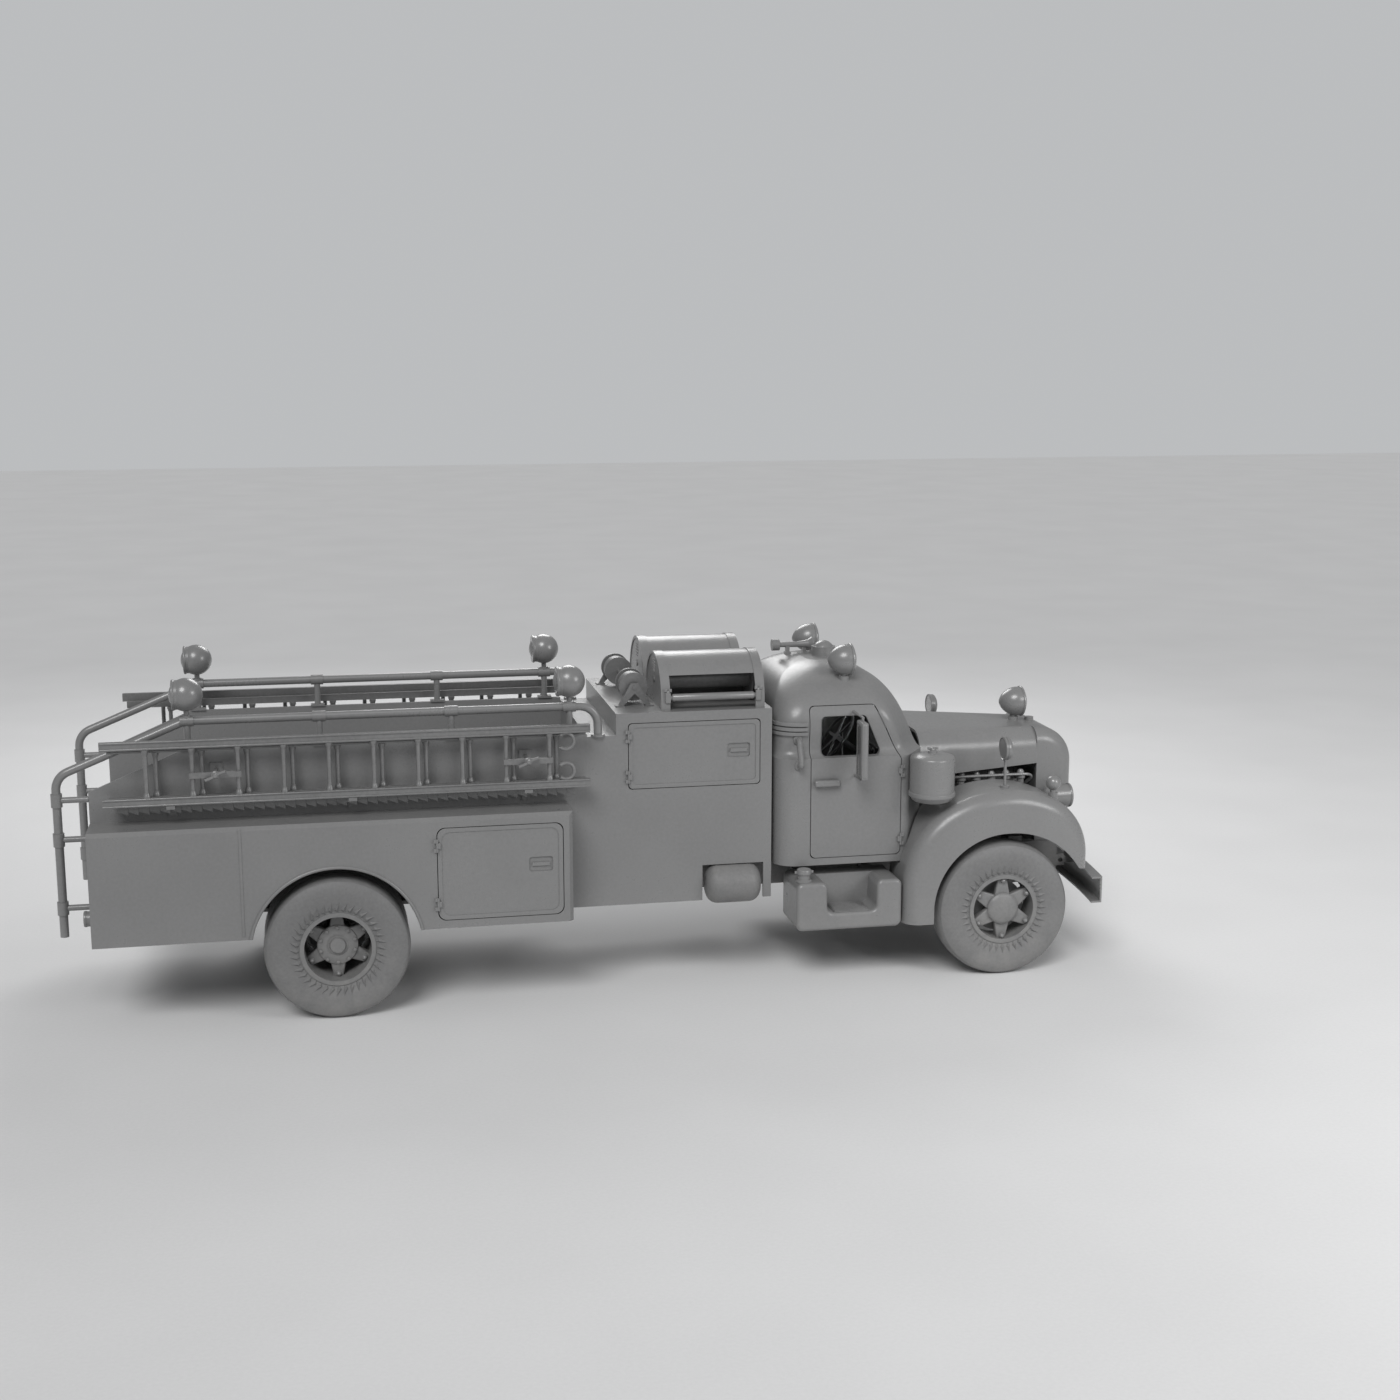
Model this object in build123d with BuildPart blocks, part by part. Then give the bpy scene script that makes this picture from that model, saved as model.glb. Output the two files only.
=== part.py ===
from build123d import *
import math
import os

# Fire engine with a bonneted cab, pump box, hose bed, racked ladders and covered hose reels.
# Millimetres. X runs forward, Y to the left, Z up from the road. Right-hand pieces are at -Y.
os.makedirs("parts", exist_ok=True)

# Axles, wheels and road
WHEELBASE = 5095.0
REAR_X = -2005.0
FRONT_X = REAR_X + WHEELBASE
TYRE_R = 530.0
TYRE_W = 260.0
RIM_R = 254.0
RIM_FLANGE_R = 274.0
RIM_HALF_W = 101.0
RIM_T = 11.0
FLANGE_T = 12.0
HUB_Z = TYRE_R
FRONT_TYRE_Y = 975.0
REAR_TYRE_Y = 970.0
DUAL_SPACING = 320.0
KINGPIN_Y = 760.0
SPOKES = 6
RUN = 0.05

# Chassis rails
RAIL_Y = 430.0
RAIL_W = 75.0
RAIL_H = 230.0
RAIL_T = 10.0
FRAME_TOP = 880.0
FRAME_LOW = FRAME_TOP - RAIL_H
FRAME_REAR = REAR_X - 1640.0
FRAME_FRONT = FRONT_X + 690.0

# Body stations
BODY_Y = 787.0
WALL = 30.0
POD_Y = 1120.0
POD_BACK = REAR_X - 1710.0
POD_FRONT = REAR_X + 1726.0
POD_LOW = 652.0
POD_TOP = 1485.0
POD_WALL = 25.0
BED_FLOOR = 1420.0
BED_FLOOR_T = 40.0
BED_TOP = 1990.0
CAB_BACK = FRONT_X - 1765.0
CAB_GAP = 25.0
BOX_BACK = REAR_X + 1885.0
BOX_FRONT = CAB_BACK - CAB_GAP
BOX_STEP_X = BOX_BACK + 220.0
BOX_STEP_Z = 1970.0
BOX_TOP = 2135.0
BOX_FLOOR = 930.0
DOOR_GAP = 6.0

# Cab, nose and wings
CAB_FLOOR = 900.0
CAB_BELT = 1740.0
CAB_ROOF = 2400.0
CAB_WALL = 40.0
CAB_Y = 860.0
CAB_FRONT = FRONT_X - 540.0
NOSE_X = FRONT_X + 505.0
NOSE_Y = 400.0
NOSE_FRONT = FRONT_X + 825.0
WING_IN = 640.0
WING_OUT = 1120.0
WING_SKIN = 35.0
WING_TOP = 1463.0
CATWALK_Z = 1160.0
BUMPER_X = FRONT_X + 885.0


def side_plane(y):
    """Plane whose x is forward and y is up, at right-hand distance y, facing outwards."""
    return Plane(origin=(0, -y, 0), x_dir=(1, 0, 0), z_dir=(0, -1, 0))


def cross_plane(x):
    """Plane whose x is to the left and y is up, at station x, facing forward."""
    return Plane(origin=(x, 0, 0), x_dir=(0, 1, 0), z_dir=(1, 0, 0))


def wheel_plane(x):
    """Half-plane of an axle: x runs to the left, y is the radius above the hub centre."""
    return Plane(origin=(x, 0, HUB_Z), x_dir=(0, 1, 0), z_dir=(1, 0, 0))


def hub_axis(x):
    return Axis((x, 0, HUB_Z), (0, 1, 0))


# Door hinges: fixed knuckles with a pin on the body, a bored knuckle on the door
HINGE_R = 9.0
HINGE_PIN = 5.0
HINGE_OUT = 15.0
HINGE_LEAF = 22.0
KNUCKLE_L = 40.0


def hinge_leaf(x, wall_y, z, toward, height):
    """Barrel and leaf against the wall face at wall_y; toward is the way along X to what carries it."""
    with BuildPart() as leaf:
        with Locations((x, -wall_y - HINGE_OUT, z)):
            Cylinder(HINGE_R, height)
        with Locations((x + toward * (2 + HINGE_LEAF / 2), -wall_y - (HINGE_OUT + 4) / 2, z)):
            Box(HINGE_LEAF, HINGE_OUT + 4, height)
    return leaf.part


def hinge_on_body(x, wall_y, z, toward):
    with BuildPart() as fixed:
        for end in (-1, 1):
            add(hinge_leaf(x, wall_y, z + end * (KNUCKLE_L / 2 + 14), toward, 26))
        with Locations((x, -wall_y - HINGE_OUT, z)):
            Cylinder(HINGE_PIN, KNUCKLE_L + 30)
    return fixed.part


def hinge_on_door(x, wall_y, z, toward):
    with BuildPart() as swinging:
        add(hinge_leaf(x, wall_y, z, toward, KNUCKLE_L))
        with Locations((x, -wall_y - HINGE_OUT, z)):
            Cylinder(HINGE_PIN + RUN, KNUCKLE_L, mode=Mode.SUBTRACT)
    return swinging.part


# Ladder frame with cross members, spring hangers, outriggers and front tow eyes
CROSS_X = (FRAME_REAR + 60, REAR_X - 900, REAR_X + 900, REAR_X + 2300, FRONT_X - 1250)
CROSS_H = 70.0
HANGER_REAR = 660.0
HANGER_FRONT = 560.0
HANGER_REAR_Z = 725.0
HANGER_FRONT_Z = 620.0
SPRING_W = 70.0
STEP_TANK_IN = 620.0
OUTRIGGER_X = (FRONT_X - 1520, FRONT_X - 960)
EYE_R = 20.0
EYE_T = 25.0
EYE_X = FRAME_FRONT + 35.0
EYE_Z = FRAME_LOW + 60.0
with BuildPart() as chassis_frame:
    with BuildSketch(cross_plane(FRAME_REAR)):
        for side in (-1, 1):
            with Locations((side * (RAIL_Y - RAIL_W / 2), FRAME_TOP - RAIL_H / 2)):
                Rectangle(RAIL_W, RAIL_H)
            with Locations((side * (RAIL_Y - RAIL_W / 2 - RAIL_T), FRAME_TOP - RAIL_H / 2)):
                Rectangle(RAIL_W, RAIL_H - 2 * RAIL_T, mode=Mode.SUBTRACT)
    extrude(amount=FRAME_FRONT - FRAME_REAR)
    for x in CROSS_X:
        with Locations((x, 0, FRAME_TOP - RAIL_T - CROSS_H / 2)):
            Box(90, 2 * (RAIL_Y - RAIL_T), CROSS_H)
    with Locations((FRAME_FRONT - 25, 0, FRAME_TOP - RAIL_H / 2)):
        Box(50, 2 * RAIL_Y, RAIL_H)
    for side in (-1, 1):
        for end in (-1, 1):
            with Locations((REAR_X + end * HANGER_REAR, side * (RAIL_Y + 4 + SPRING_W / 2),
                            HANGER_REAR_Z + 60)):
                Box(110, SPRING_W + 8, 120)
            with Locations((FRONT_X + end * HANGER_FRONT, side * (RAIL_Y - RAIL_W / 2),
                            (FRAME_LOW + HANGER_FRONT_Z) / 2)):
                Box(110, SPRING_W, FRAME_LOW - HANGER_FRONT_Z)
        for x in OUTRIGGER_X:
            with Locations((x, side * (RAIL_Y + STEP_TANK_IN) / 2, 740)):
                Box(60, STEP_TANK_IN - RAIL_Y, 100)
        with Locations((EYE_X - 5, side * (RAIL_Y - EYE_T / 2), EYE_Z)):
            Box(80, EYE_T, 90)
        with Locations((EYE_X, side * (RAIL_Y - EYE_T / 2), EYE_Z)):
            Cylinder(EYE_R, EYE_T, rotation=(90, 0, 0), mode=Mode.SUBTRACT)
chassis_frame.part.label = "chassis_frame"
export_step(chassis_frame.part, "parts/chassis_frame.step")

# Leaf springs: three stepped leaves with flat end pads and a clamped middle
LEAF_T = 22.0
LEAF_SHARE = (1.0, 0.74, 0.48)
SPRING_SAG = 46.0
# columns: axle station, distance out from the middle, half length, top of the end pads
SPRINGS = (
    (REAR_X, RAIL_Y + 8 + SPRING_W / 2, HANGER_REAR, HANGER_REAR_Z),
    (FRONT_X, RAIL_Y - RAIL_W / 2, HANGER_FRONT, HANGER_FRONT_Z),
)
with BuildPart() as leaf_springs:
    for axle_x, out_y, half, pad_z in SPRINGS:
        with BuildSketch(side_plane(out_y - SPRING_W / 2)):
            for leaf, share in enumerate(LEAF_SHARE):
                top = pad_z - 6 - leaf * LEAF_T
                reach = half * share
                rise = SPRING_SAG * share**2
                with BuildLine():
                    upper = ThreePointArc((axle_x - reach, top - SPRING_SAG + rise),
                                          (axle_x, top - SPRING_SAG),
                                          (axle_x + reach, top - SPRING_SAG + rise))
                    lower = ThreePointArc((axle_x + reach, top - SPRING_SAG + rise - LEAF_T),
                                          (axle_x, top - SPRING_SAG - LEAF_T),
                                          (axle_x - reach, top - SPRING_SAG + rise - LEAF_T))
                    Line(upper @ 1, lower @ 0)
                    Line(lower @ 1, upper @ 0)
                make_face()
            for end in (-1, 1):
                with Locations((axle_x + end * (half - 45), pad_z - 18)):
                    Rectangle(90, 36)
            with Locations((axle_x, pad_z - 6 - SPRING_SAG - 1.5 * LEAF_T)):
                Rectangle(150, 3 * LEAF_T + 16)
        extrude(amount=SPRING_W)
    mirror(about=Plane.XZ)
leaf_springs.part.label = "leaf_springs"
export_step(leaf_springs.part, "parts/leaf_springs.step")
SPRING_DEPTH = 6 + SPRING_SAG + 3 * LEAF_T + 8
REAR_SEAT_Z = HANGER_REAR_Z - SPRING_DEPTH
FRONT_SEAT_Z = HANGER_FRONT_Z - SPRING_DEPTH

# Front axle beam with kingpin bosses
BEAM_X = 90.0
BOSS_R = 48.0
BOSS_HALF = 90.0
PIN_R = 25.0
with BuildPart() as front_axle:
    with BuildSketch(Plane(origin=(FRONT_X - BEAM_X / 2, 0, 0), x_dir=(0, 1, 0), z_dir=(1, 0, 0))):
        with BuildLine():
            Polyline((0, FRONT_SEAT_Z - 110), (500, FRONT_SEAT_Z - 110), (640, HUB_Z - 50),
                     (KINGPIN_Y, HUB_Z - 50), (KINGPIN_Y, HUB_Z + 50), (620, HUB_Z + 50),
                     (480, FRONT_SEAT_Z), (0, FRONT_SEAT_Z))
            mirror(about=Plane.YZ)
        make_face()
    extrude(amount=BEAM_X)
    for side in (-1, 1):
        with Locations((FRONT_X, side * KINGPIN_Y, HUB_Z)):
            Cylinder(BOSS_R, 2 * BOSS_HALF)
    for side in (-1, 1):
        with Locations((FRONT_X, side * KINGPIN_Y, HUB_Z)):
            Cylinder(PIN_R, 2 * BOSS_HALF, mode=Mode.SUBTRACT)
front_axle.part.label = "front_axle"
export_step(front_axle.part, "parts/front_axle.step")

# Steering knuckle: forked yoke, kingpin, spindle and steering arm
YOKE_GAP = 1.0
YOKE_T = 30.0
YOKE_IN = KINGPIN_Y + BOSS_R + 8.0
YOKE_OUT = YOKE_IN + 30.0
SPINDLE_R = 38.0
SPINDLE_END = 1010.0
with BuildPart() as knuckle_right:
    for end in (-1, 1):
        with Locations((FRONT_X, -(YOKE_OUT + KINGPIN_Y - 48) / 2,
                        HUB_Z + end * (BOSS_HALF + YOKE_GAP + YOKE_T / 2))):
            Box(100, YOKE_OUT - KINGPIN_Y + 48, YOKE_T)
    with Locations((FRONT_X, -(YOKE_OUT + YOKE_IN) / 2, HUB_Z)):
        Box(100, YOKE_OUT - YOKE_IN, 2 * (BOSS_HALF + YOKE_GAP + YOKE_T))
    with Locations((FRONT_X, -KINGPIN_Y, HUB_Z)):
        Cylinder(PIN_R - RUN, 2 * (BOSS_HALF + YOKE_GAP + 4))
    with Locations((FRONT_X, -(YOKE_OUT + SPINDLE_END) / 2, HUB_Z)):
        Cylinder(SPINDLE_R, SPINDLE_END - YOKE_OUT, rotation=(90, 0, 0))
    with Locations((FRONT_X - 120, -KINGPIN_Y + 10, HUB_Z - BOSS_HALF - YOKE_GAP - YOKE_T / 2)):
        Box(160, 50, YOKE_T)
knuckle_right.part.label = "knuckle_right"
export_step(knuckle_right.part, "parts/knuckle_right.step")

with BuildPart() as knuckle_left:
    mirror(knuckle_right.part, about=Plane.XZ)
knuckle_left.part.label = "knuckle_left"
export_step(knuckle_left.part, "parts/knuckle_left.step")

# Tyres: straight-sided revolved section, widest at two thirds of its height
SHOULDER_R = TYRE_R - 34.0
BULGE_R = RIM_R + 0.55 * (TYRE_R - RIM_R)


def tyre_section(y):
    """Closed tyre section round the rim, centred at y, drawn in a wheel plane."""
    half = TYRE_W / 2
    Polyline((y - RIM_HALF_W + 6, RIM_R), (y + RIM_HALF_W - 6, RIM_R), (y + half, BULGE_R),
             (y + half - 6, SHOULDER_R), (y + half - 40, TYRE_R), (y - half + 40, TYRE_R),
             (y - half + 6, SHOULDER_R), (y - half, BULGE_R), close=True)


with BuildPart() as tyre_front_right:
    with BuildSketch(wheel_plane(FRONT_X)):
        with BuildLine():
            tyre_section(-FRONT_TYRE_Y)
        make_face()
    revolve(axis=hub_axis(FRONT_X))
tyre_front_right.part.label = "tyre_front_right"
export_step(tyre_front_right.part, "parts/tyre_front_right.step")

with BuildPart() as tyre_front_left:
    mirror(tyre_front_right.part, about=Plane.XZ)
tyre_front_left.part.label = "tyre_front_left"
export_step(tyre_front_left.part, "parts/tyre_front_left.step")

with BuildPart() as tyres_rear_right:
    for y in (-REAR_TYRE_Y, -REAR_TYRE_Y + DUAL_SPACING):
        with BuildSketch(wheel_plane(REAR_X)):
            with BuildLine():
                tyre_section(y)
            make_face()
        revolve(axis=hub_axis(REAR_X))
tyres_rear_right.part.label = "tyres_rear_right"
export_step(tyres_rear_right.part, "parts/tyres_rear_right.step")

with BuildPart() as tyres_rear_left:
    mirror(tyres_rear_right.part, about=Plane.XZ)
tyres_rear_left.part.label = "tyres_rear_left"
export_step(tyres_rear_left.part, "parts/tyres_rear_left.step")

# Cast spoke wheels: rim, hub, brake drum, tapered spokes and a wedge clamp at each spoke tip


def rim_section(y):
    """Flanged rim section centred at y, drawn in a wheel plane."""
    edge = RIM_HALF_W + FLANGE_T
    low = RIM_R - RIM_T
    Polyline((y - edge, low), (y + edge, low), (y + edge, RIM_FLANGE_R), (y + RIM_HALF_W, RIM_FLANGE_R),
             (y + RIM_HALF_W, RIM_R), (y - RIM_HALF_W, RIM_R), (y - RIM_HALF_W, RIM_FLANGE_R),
             (y - edge, RIM_FLANGE_R), close=True)


def revolved_barrel(x, outline):
    """Solid turned about the axle from an outline of (distance out, radius) points."""
    with BuildPart() as barrel:
        with BuildSketch(wheel_plane(x)):
            with BuildLine():
                Polyline(*[(-out, radius) for out, radius in outline], close=True)
            make_face()
        revolve(axis=hub_axis(x))
    return barrel.part


def spokes(x, near_y, depth, root_w, tip_w):
    """Ring of tapered spokes that starts at near_y and grows outwards by depth."""
    tip = RIM_R - RIM_T + 4
    with BuildPart() as ring:
        with BuildSketch(Plane(origin=(x, -near_y, HUB_Z), x_dir=(1, 0, 0), z_dir=(0, -1, 0))):
            with PolarLocations(0, SPOKES, start_angle=90):
                Polygon((70, -root_w / 2), (tip, -tip_w / 2), (tip, tip_w / 2), (70, root_w / 2), align=None)
        extrude(amount=depth)
    return ring.part


DRUM_R = 205.0
FRONT_BORE = SPINDLE_R + RUN
FRONT_DRUM = YOKE_OUT + 16.0
with BuildPart() as wheel_front_right:
    with BuildSketch(wheel_plane(FRONT_X)):
        with BuildLine():
            rim_section(-FRONT_TYRE_Y)
        make_face()
    revolve(axis=hub_axis(FRONT_X))
    add(spokes(FRONT_X, FRONT_TYRE_Y - 5, 62, 84, 66))
    add(revolved_barrel(FRONT_X, ((FRONT_DRUM, DRUM_R - 18), (FRONT_DRUM, DRUM_R), (FRONT_DRUM + 88, DRUM_R),
                              (FRONT_DRUM + 88, 86), (1046, 86), (1052, 122), (1074, 122), (1082, 88),
                              (1088, 60), (1095, 52), (1095, 0), (SPINDLE_END + 6, 0),
                              (SPINDLE_END + 6, FRONT_BORE), (FRONT_DRUM + 4, FRONT_BORE),
                              (FRONT_DRUM + 4, 70), (FRONT_DRUM + 70, 70), (FRONT_DRUM + 70, DRUM_R - 18))))
wheel_front_right.part.label = "wheel_front_right"
export_step(wheel_front_right.part, "parts/wheel_front_right.step")

with BuildPart() as wheel_front_left:
    mirror(wheel_front_right.part, about=Plane.XZ)
wheel_front_left.part.label = "wheel_front_left"
export_step(wheel_front_left.part, "parts/wheel_front_left.step")

# Rear axle: banjo housing, spring seats, spindles and drive shaft
AXLE_R = 62.0
AXLE_TUBE_END = 560.0
REAR_SPINDLE_R = 45.0
REAR_SPINDLE_END = 955.0
BANJO_R = 188.0
PINION_X = REAR_X + 330.0
GEARBOX_X = FRONT_X - 1010.0
GEARBOX_Z = 735.0
SHAFT_R = 45.0
shaft_run = Vector(GEARBOX_X - 30 - PINION_X, 0, GEARBOX_Z - HUB_Z - 40)
with BuildPart() as rear_axle:
    add(revolved_barrel(REAR_X, ((0, 0), (0, BANJO_R), (60, BANJO_R), (150, 120), (230, AXLE_R),
                             (AXLE_TUBE_END, AXLE_R), (AXLE_TUBE_END, REAR_SPINDLE_R),
                             (REAR_SPINDLE_END, REAR_SPINDLE_R), (REAR_SPINDLE_END, 0))))
    for axle_x, out_y, half, pad_z in SPRINGS[:1]:
        with Locations((REAR_X, -out_y, (REAR_SEAT_Z + HUB_Z) / 2)):
            Box(150, SPRING_W, REAR_SEAT_Z - HUB_Z)
    mirror(about=Plane.XZ)
    with BuildSketch(Plane(origin=(REAR_X, 0, HUB_Z + 20), x_dir=(0, 1, 0), z_dir=(1, 0, 0))):
        Circle(110)
    extrude(amount=PINION_X - REAR_X, taper=8)
    with BuildSketch(Plane(origin=(PINION_X - 20, 0, HUB_Z + 40), z_dir=shaft_run)):
        Circle(SHAFT_R)
    extrude(amount=shaft_run.length + 20)
    with Locations((GEARBOX_X - 20, 0, GEARBOX_Z)):
        Cylinder(80, 40, rotation=(0, 90, 0))
rear_axle.part.label = "rear_axle"
export_step(rear_axle.part, "parts/rear_axle.step")

REAR_BORE = REAR_SPINDLE_R + RUN
REAR_DRUM = AXLE_TUBE_END + 14.0
DUAL_IN = REAR_TYRE_Y - DUAL_SPACING
with BuildPart() as wheel_rear_right:
    for y in (-REAR_TYRE_Y, -DUAL_IN):
        with BuildSketch(wheel_plane(REAR_X)):
            with BuildLine():
                rim_section(y)
            make_face()
        revolve(axis=hub_axis(REAR_X))
    spacer_in = DUAL_IN + RIM_HALF_W
    spacer_out = REAR_TYRE_Y - RIM_HALF_W
    add(revolved_barrel(REAR_X, ((spacer_in, RIM_R - RIM_T), (spacer_in, RIM_R - 2), (spacer_out, RIM_R - 2),
                                 (spacer_out, RIM_R - RIM_T))))
    add(spokes(REAR_X, REAR_TYRE_Y - 105, 70, 96, 70))
    add(revolved_barrel(REAR_X, ((REAR_DRUM, DRUM_R - 18), (REAR_DRUM, DRUM_R), (REAR_DRUM + 120, DRUM_R),
                             (REAR_DRUM + 120, 118), (915, 118), (915, 132), (938, 132), (938, 96),
                             (972, 88), (972, 62), (997, 54), (997, 0), (REAR_SPINDLE_END + 6, 0),
                             (REAR_SPINDLE_END + 6, REAR_BORE), (REAR_DRUM + 20, REAR_BORE),
                             (REAR_DRUM + 20, 84), (REAR_DRUM + 100, 84), (REAR_DRUM + 100, DRUM_R - 18))))
wheel_rear_right.part.label = "wheel_rear_right"
export_step(wheel_rear_right.part, "parts/wheel_rear_right.step")

with BuildPart() as wheel_rear_left:
    mirror(wheel_rear_right.part, about=Plane.XZ)
wheel_rear_left.part.label = "wheel_rear_left"
export_step(wheel_rear_left.part, "parts/wheel_rear_left.step")

# Engine and gearbox, open to view below the hood edge
ENGINE_BACK = FRONT_X - 330.0
ENGINE_FRONT = FRONT_X + 420.0
ENGINE_TOP = 1450.0
CYLINDERS = 6
PITCH = (ENGINE_FRONT - ENGINE_BACK) / CYLINDERS
MANIFOLD_Z = 1330.0
MANIFOLD_Y = 300.0
with BuildPart() as engine:
    with BuildSketch(cross_plane(ENGINE_BACK)):
        with BuildLine():
            Polyline((-150, 600), (150, 600), (230, 700), (230, 1010), (165, 1080), (165, 1390),
                     (110, ENGINE_TOP), (-110, ENGINE_TOP), (-165, 1390), (-165, 1080), (-230, 1010),
                     (-230, 700), close=True)
        make_face()
    extrude(amount=ENGINE_FRONT - ENGINE_BACK)
    for cylinder in range(CYLINDERS):
        x = ENGINE_BACK + (cylinder + 0.5) * PITCH
        with Locations((x, 0, MANIFOLD_Z)):
            Cylinder(30, 2 * MANIFOLD_Y, rotation=(90, 0, 0))
        with Locations((x, 0, ENGINE_TOP)):
            Cylinder(36, 40)
    for side in (-1, 1):
        with Locations(((ENGINE_BACK + ENGINE_FRONT) / 2, side * MANIFOLD_Y, MANIFOLD_Z)):
            Cylinder(46, ENGINE_FRONT - ENGINE_BACK - 40, rotation=(0, 90, 0))
        for x in (ENGINE_BACK + 90, ENGINE_FRONT - 90):
            with Locations((x, side * (RAIL_Y + 200) / 2, FRAME_TOP + 25)):
                Box(110, RAIL_Y - 200, 50)
    with Locations((ENGINE_FRONT + 30, 0, 860)):
        Cylinder(110, 60, rotation=(0, 90, 0))
    with Locations((ENGINE_FRONT + 20, 0, 1180)):
        Cylinder(70, 60, rotation=(0, 90, 0))
    with BuildSketch(Plane(origin=(ENGINE_BACK, 0, GEARBOX_Z), x_dir=(0, 1, 0), z_dir=(-1, 0, 0))):
        Circle(150)
    extrude(amount=ENGINE_BACK - GEARBOX_X, taper=4)
    with Locations((ENGINE_BACK - 60, 0, GEARBOX_Z)):
        Cylinder(158, 120, rotation=(0, 90, 0))
engine.part.label = "engine"
export_step(engine.part, "parts/engine.step")

# Radiator core between header tanks, standing on the rails
RADIATOR_X = FRONT_X + 560.0
with BuildPart() as radiator:
    with Locations((RADIATOR_X, 0, (FRAME_TOP + 1560) / 2)):
        Box(70, 2 * (NOSE_Y - 50), 1560 - FRAME_TOP)
    for z in (FRAME_TOP + 50, 1510):
        with Locations((RADIATOR_X, 0, z)):
            Box(110, 2 * (NOSE_Y - 45), 100)
radiator.part.label = "radiator"
export_step(radiator.part, "parts/radiator.step")

# Nose shell: domed radiator surround with vertical grille bars
NOSE_TOP = 1800.0
NOSE_SKIN = 30.0
GRILLE_Y = 250.0
GRILLE_LOW = 960.0
GRILLE_TOP = 1500.0
GRILLE_BARS = 15
NOSE_R = 120.0
DOME_X = NOSE_X + 40.0


def nose_form(inset, tail):
    """Solid nose: domed side outline carried across, with its long edges rounded."""
    top = NOSE_TOP - inset
    front = NOSE_FRONT - inset
    dome = front - DOME_X
    with BuildPart() as form:
        with BuildSketch(side_plane(-(NOSE_Y - inset))):
            with BuildLine():
                Polyline((DOME_X, top), (NOSE_X - tail, top), (NOSE_X - tail, FRAME_TOP - tail),
                         (front, FRAME_TOP - tail), (front, top - dome))
                TangentArc((front, top - dome), (DOME_X, top), tangent=(0, 1))
            make_face()
        extrude(amount=2 * (NOSE_Y - inset))
        long_edges = form.edges().filter_by(
            lambda e: abs(abs(e.center().Y) - NOSE_Y + inset) < 1
            and (e.geom_type == GeomType.CIRCLE or e.center().X > front - 5 or e.center().Z > top - 5))
        fillet(long_edges, NOSE_R - inset)
    return form.part


with BuildPart() as nose_shell:
    add(nose_form(0, 0))
    add(nose_form(NOSE_SKIN, 60), mode=Mode.SUBTRACT)
    with Locations((NOSE_FRONT - NOSE_SKIN / 2, 0, (GRILLE_LOW + GRILLE_TOP) / 2)):
        Box(4 * NOSE_SKIN, 2 * GRILLE_Y, GRILLE_TOP - GRILLE_LOW, mode=Mode.SUBTRACT)
    for bar in range(GRILLE_BARS):
        y = GRILLE_Y * (2 * (bar + 0.5) / GRILLE_BARS - 1)
        with Locations((NOSE_FRONT - NOSE_SKIN / 2, y, (GRILLE_LOW + GRILLE_TOP) / 2)):
            Box(NOSE_SKIN, 12, GRILLE_TOP - GRILLE_LOW)
    with Locations((NOSE_X + 75, 0, NOSE_TOP - 5)):
        Cylinder(38, 60)
nose_shell.part.label = "nose_shell"
export_step(nose_shell.part, "parts/nose_shell.step")

# Hood: arched shell tapering from the cowl to the nose
HOOD_SKIN = 22.0
# columns: station, half width, crown height, lower edge, corner radius
HOOD_SECTIONS = ((CAB_FRONT, 590.0, 1845.0, 1490.0, 190.0), (NOSE_X, NOSE_Y, NOSE_TOP, 1522.0, 170.0))
LAMP_X = FRONT_X + 440.0
LAMP_SEAT_Z = 1835.0


def hood_form(inset, drop):
    with BuildPart() as form:
        for x, half, top, low, radius in HOOD_SECTIONS:
            with BuildSketch(cross_plane(x)):
                with BuildLine():
                    FilletPolyline((half - inset, low - drop), (half - inset, top - inset),
                                   (-half + inset, top - inset), (-half + inset, low - drop),
                                   radius=radius - inset)
                    Line((-half + inset, low - drop), (half - inset, low - drop))
                make_face()
        loft(ruled=True)
    return form.part


with BuildPart() as hood:
    add(hood_form(0, 0))
    add(hood_form(HOOD_SKIN, 20), mode=Mode.SUBTRACT)
    with Locations((LAMP_X, 0, LAMP_SEAT_Z - 20)):
        Cylinder(42, 40)
hood.part.label = "hood"
export_step(hood.part, "parts/hood.step")

# Cab: lower body and leaning upper half in one hollow shell, split at the doors
# columns: rear face, half width, start of the front corner, front face, front half width,
# rear corner radius, front corner radius
CAB_BELT_SECTION = (CAB_BACK, CAB_Y, FRONT_X - 720, CAB_FRONT, 600.0, 170.0, 70.0)
# columns: height above the belt as a share of the whole, then the columns of the belt section
CAB_DOME = ((0.38, CAB_BACK + 15, CAB_Y - 45, FRONT_X - 835, CAB_FRONT - 125, 560.0, 185.0, 100.0),
            (0.60, CAB_BACK + 42, CAB_Y - 92, FRONT_X - 905, CAB_FRONT - 200, 520.0, 205.0, 125.0),
            (0.78, CAB_BACK + 105, CAB_Y - 220, FRONT_X - 1000, CAB_FRONT - 295, 440.0, 220.0, 140.0),
            (0.90, CAB_BACK + 200, CAB_Y - 360, FRONT_X - 1100, CAB_FRONT - 415, 345.0, 215.0, 130.0),
            (0.97, CAB_BACK + 310, CAB_Y - 500, FRONT_X - 1185, CAB_FRONT - 550, 260.0, 170.0, 100.0),
            (1.00, CAB_BACK + 400, CAB_Y - 620, FRONT_X - 1205, CAB_FRONT - 605, 180.0, 100.0, 60.0))
WING_GAP = 12.0


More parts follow.
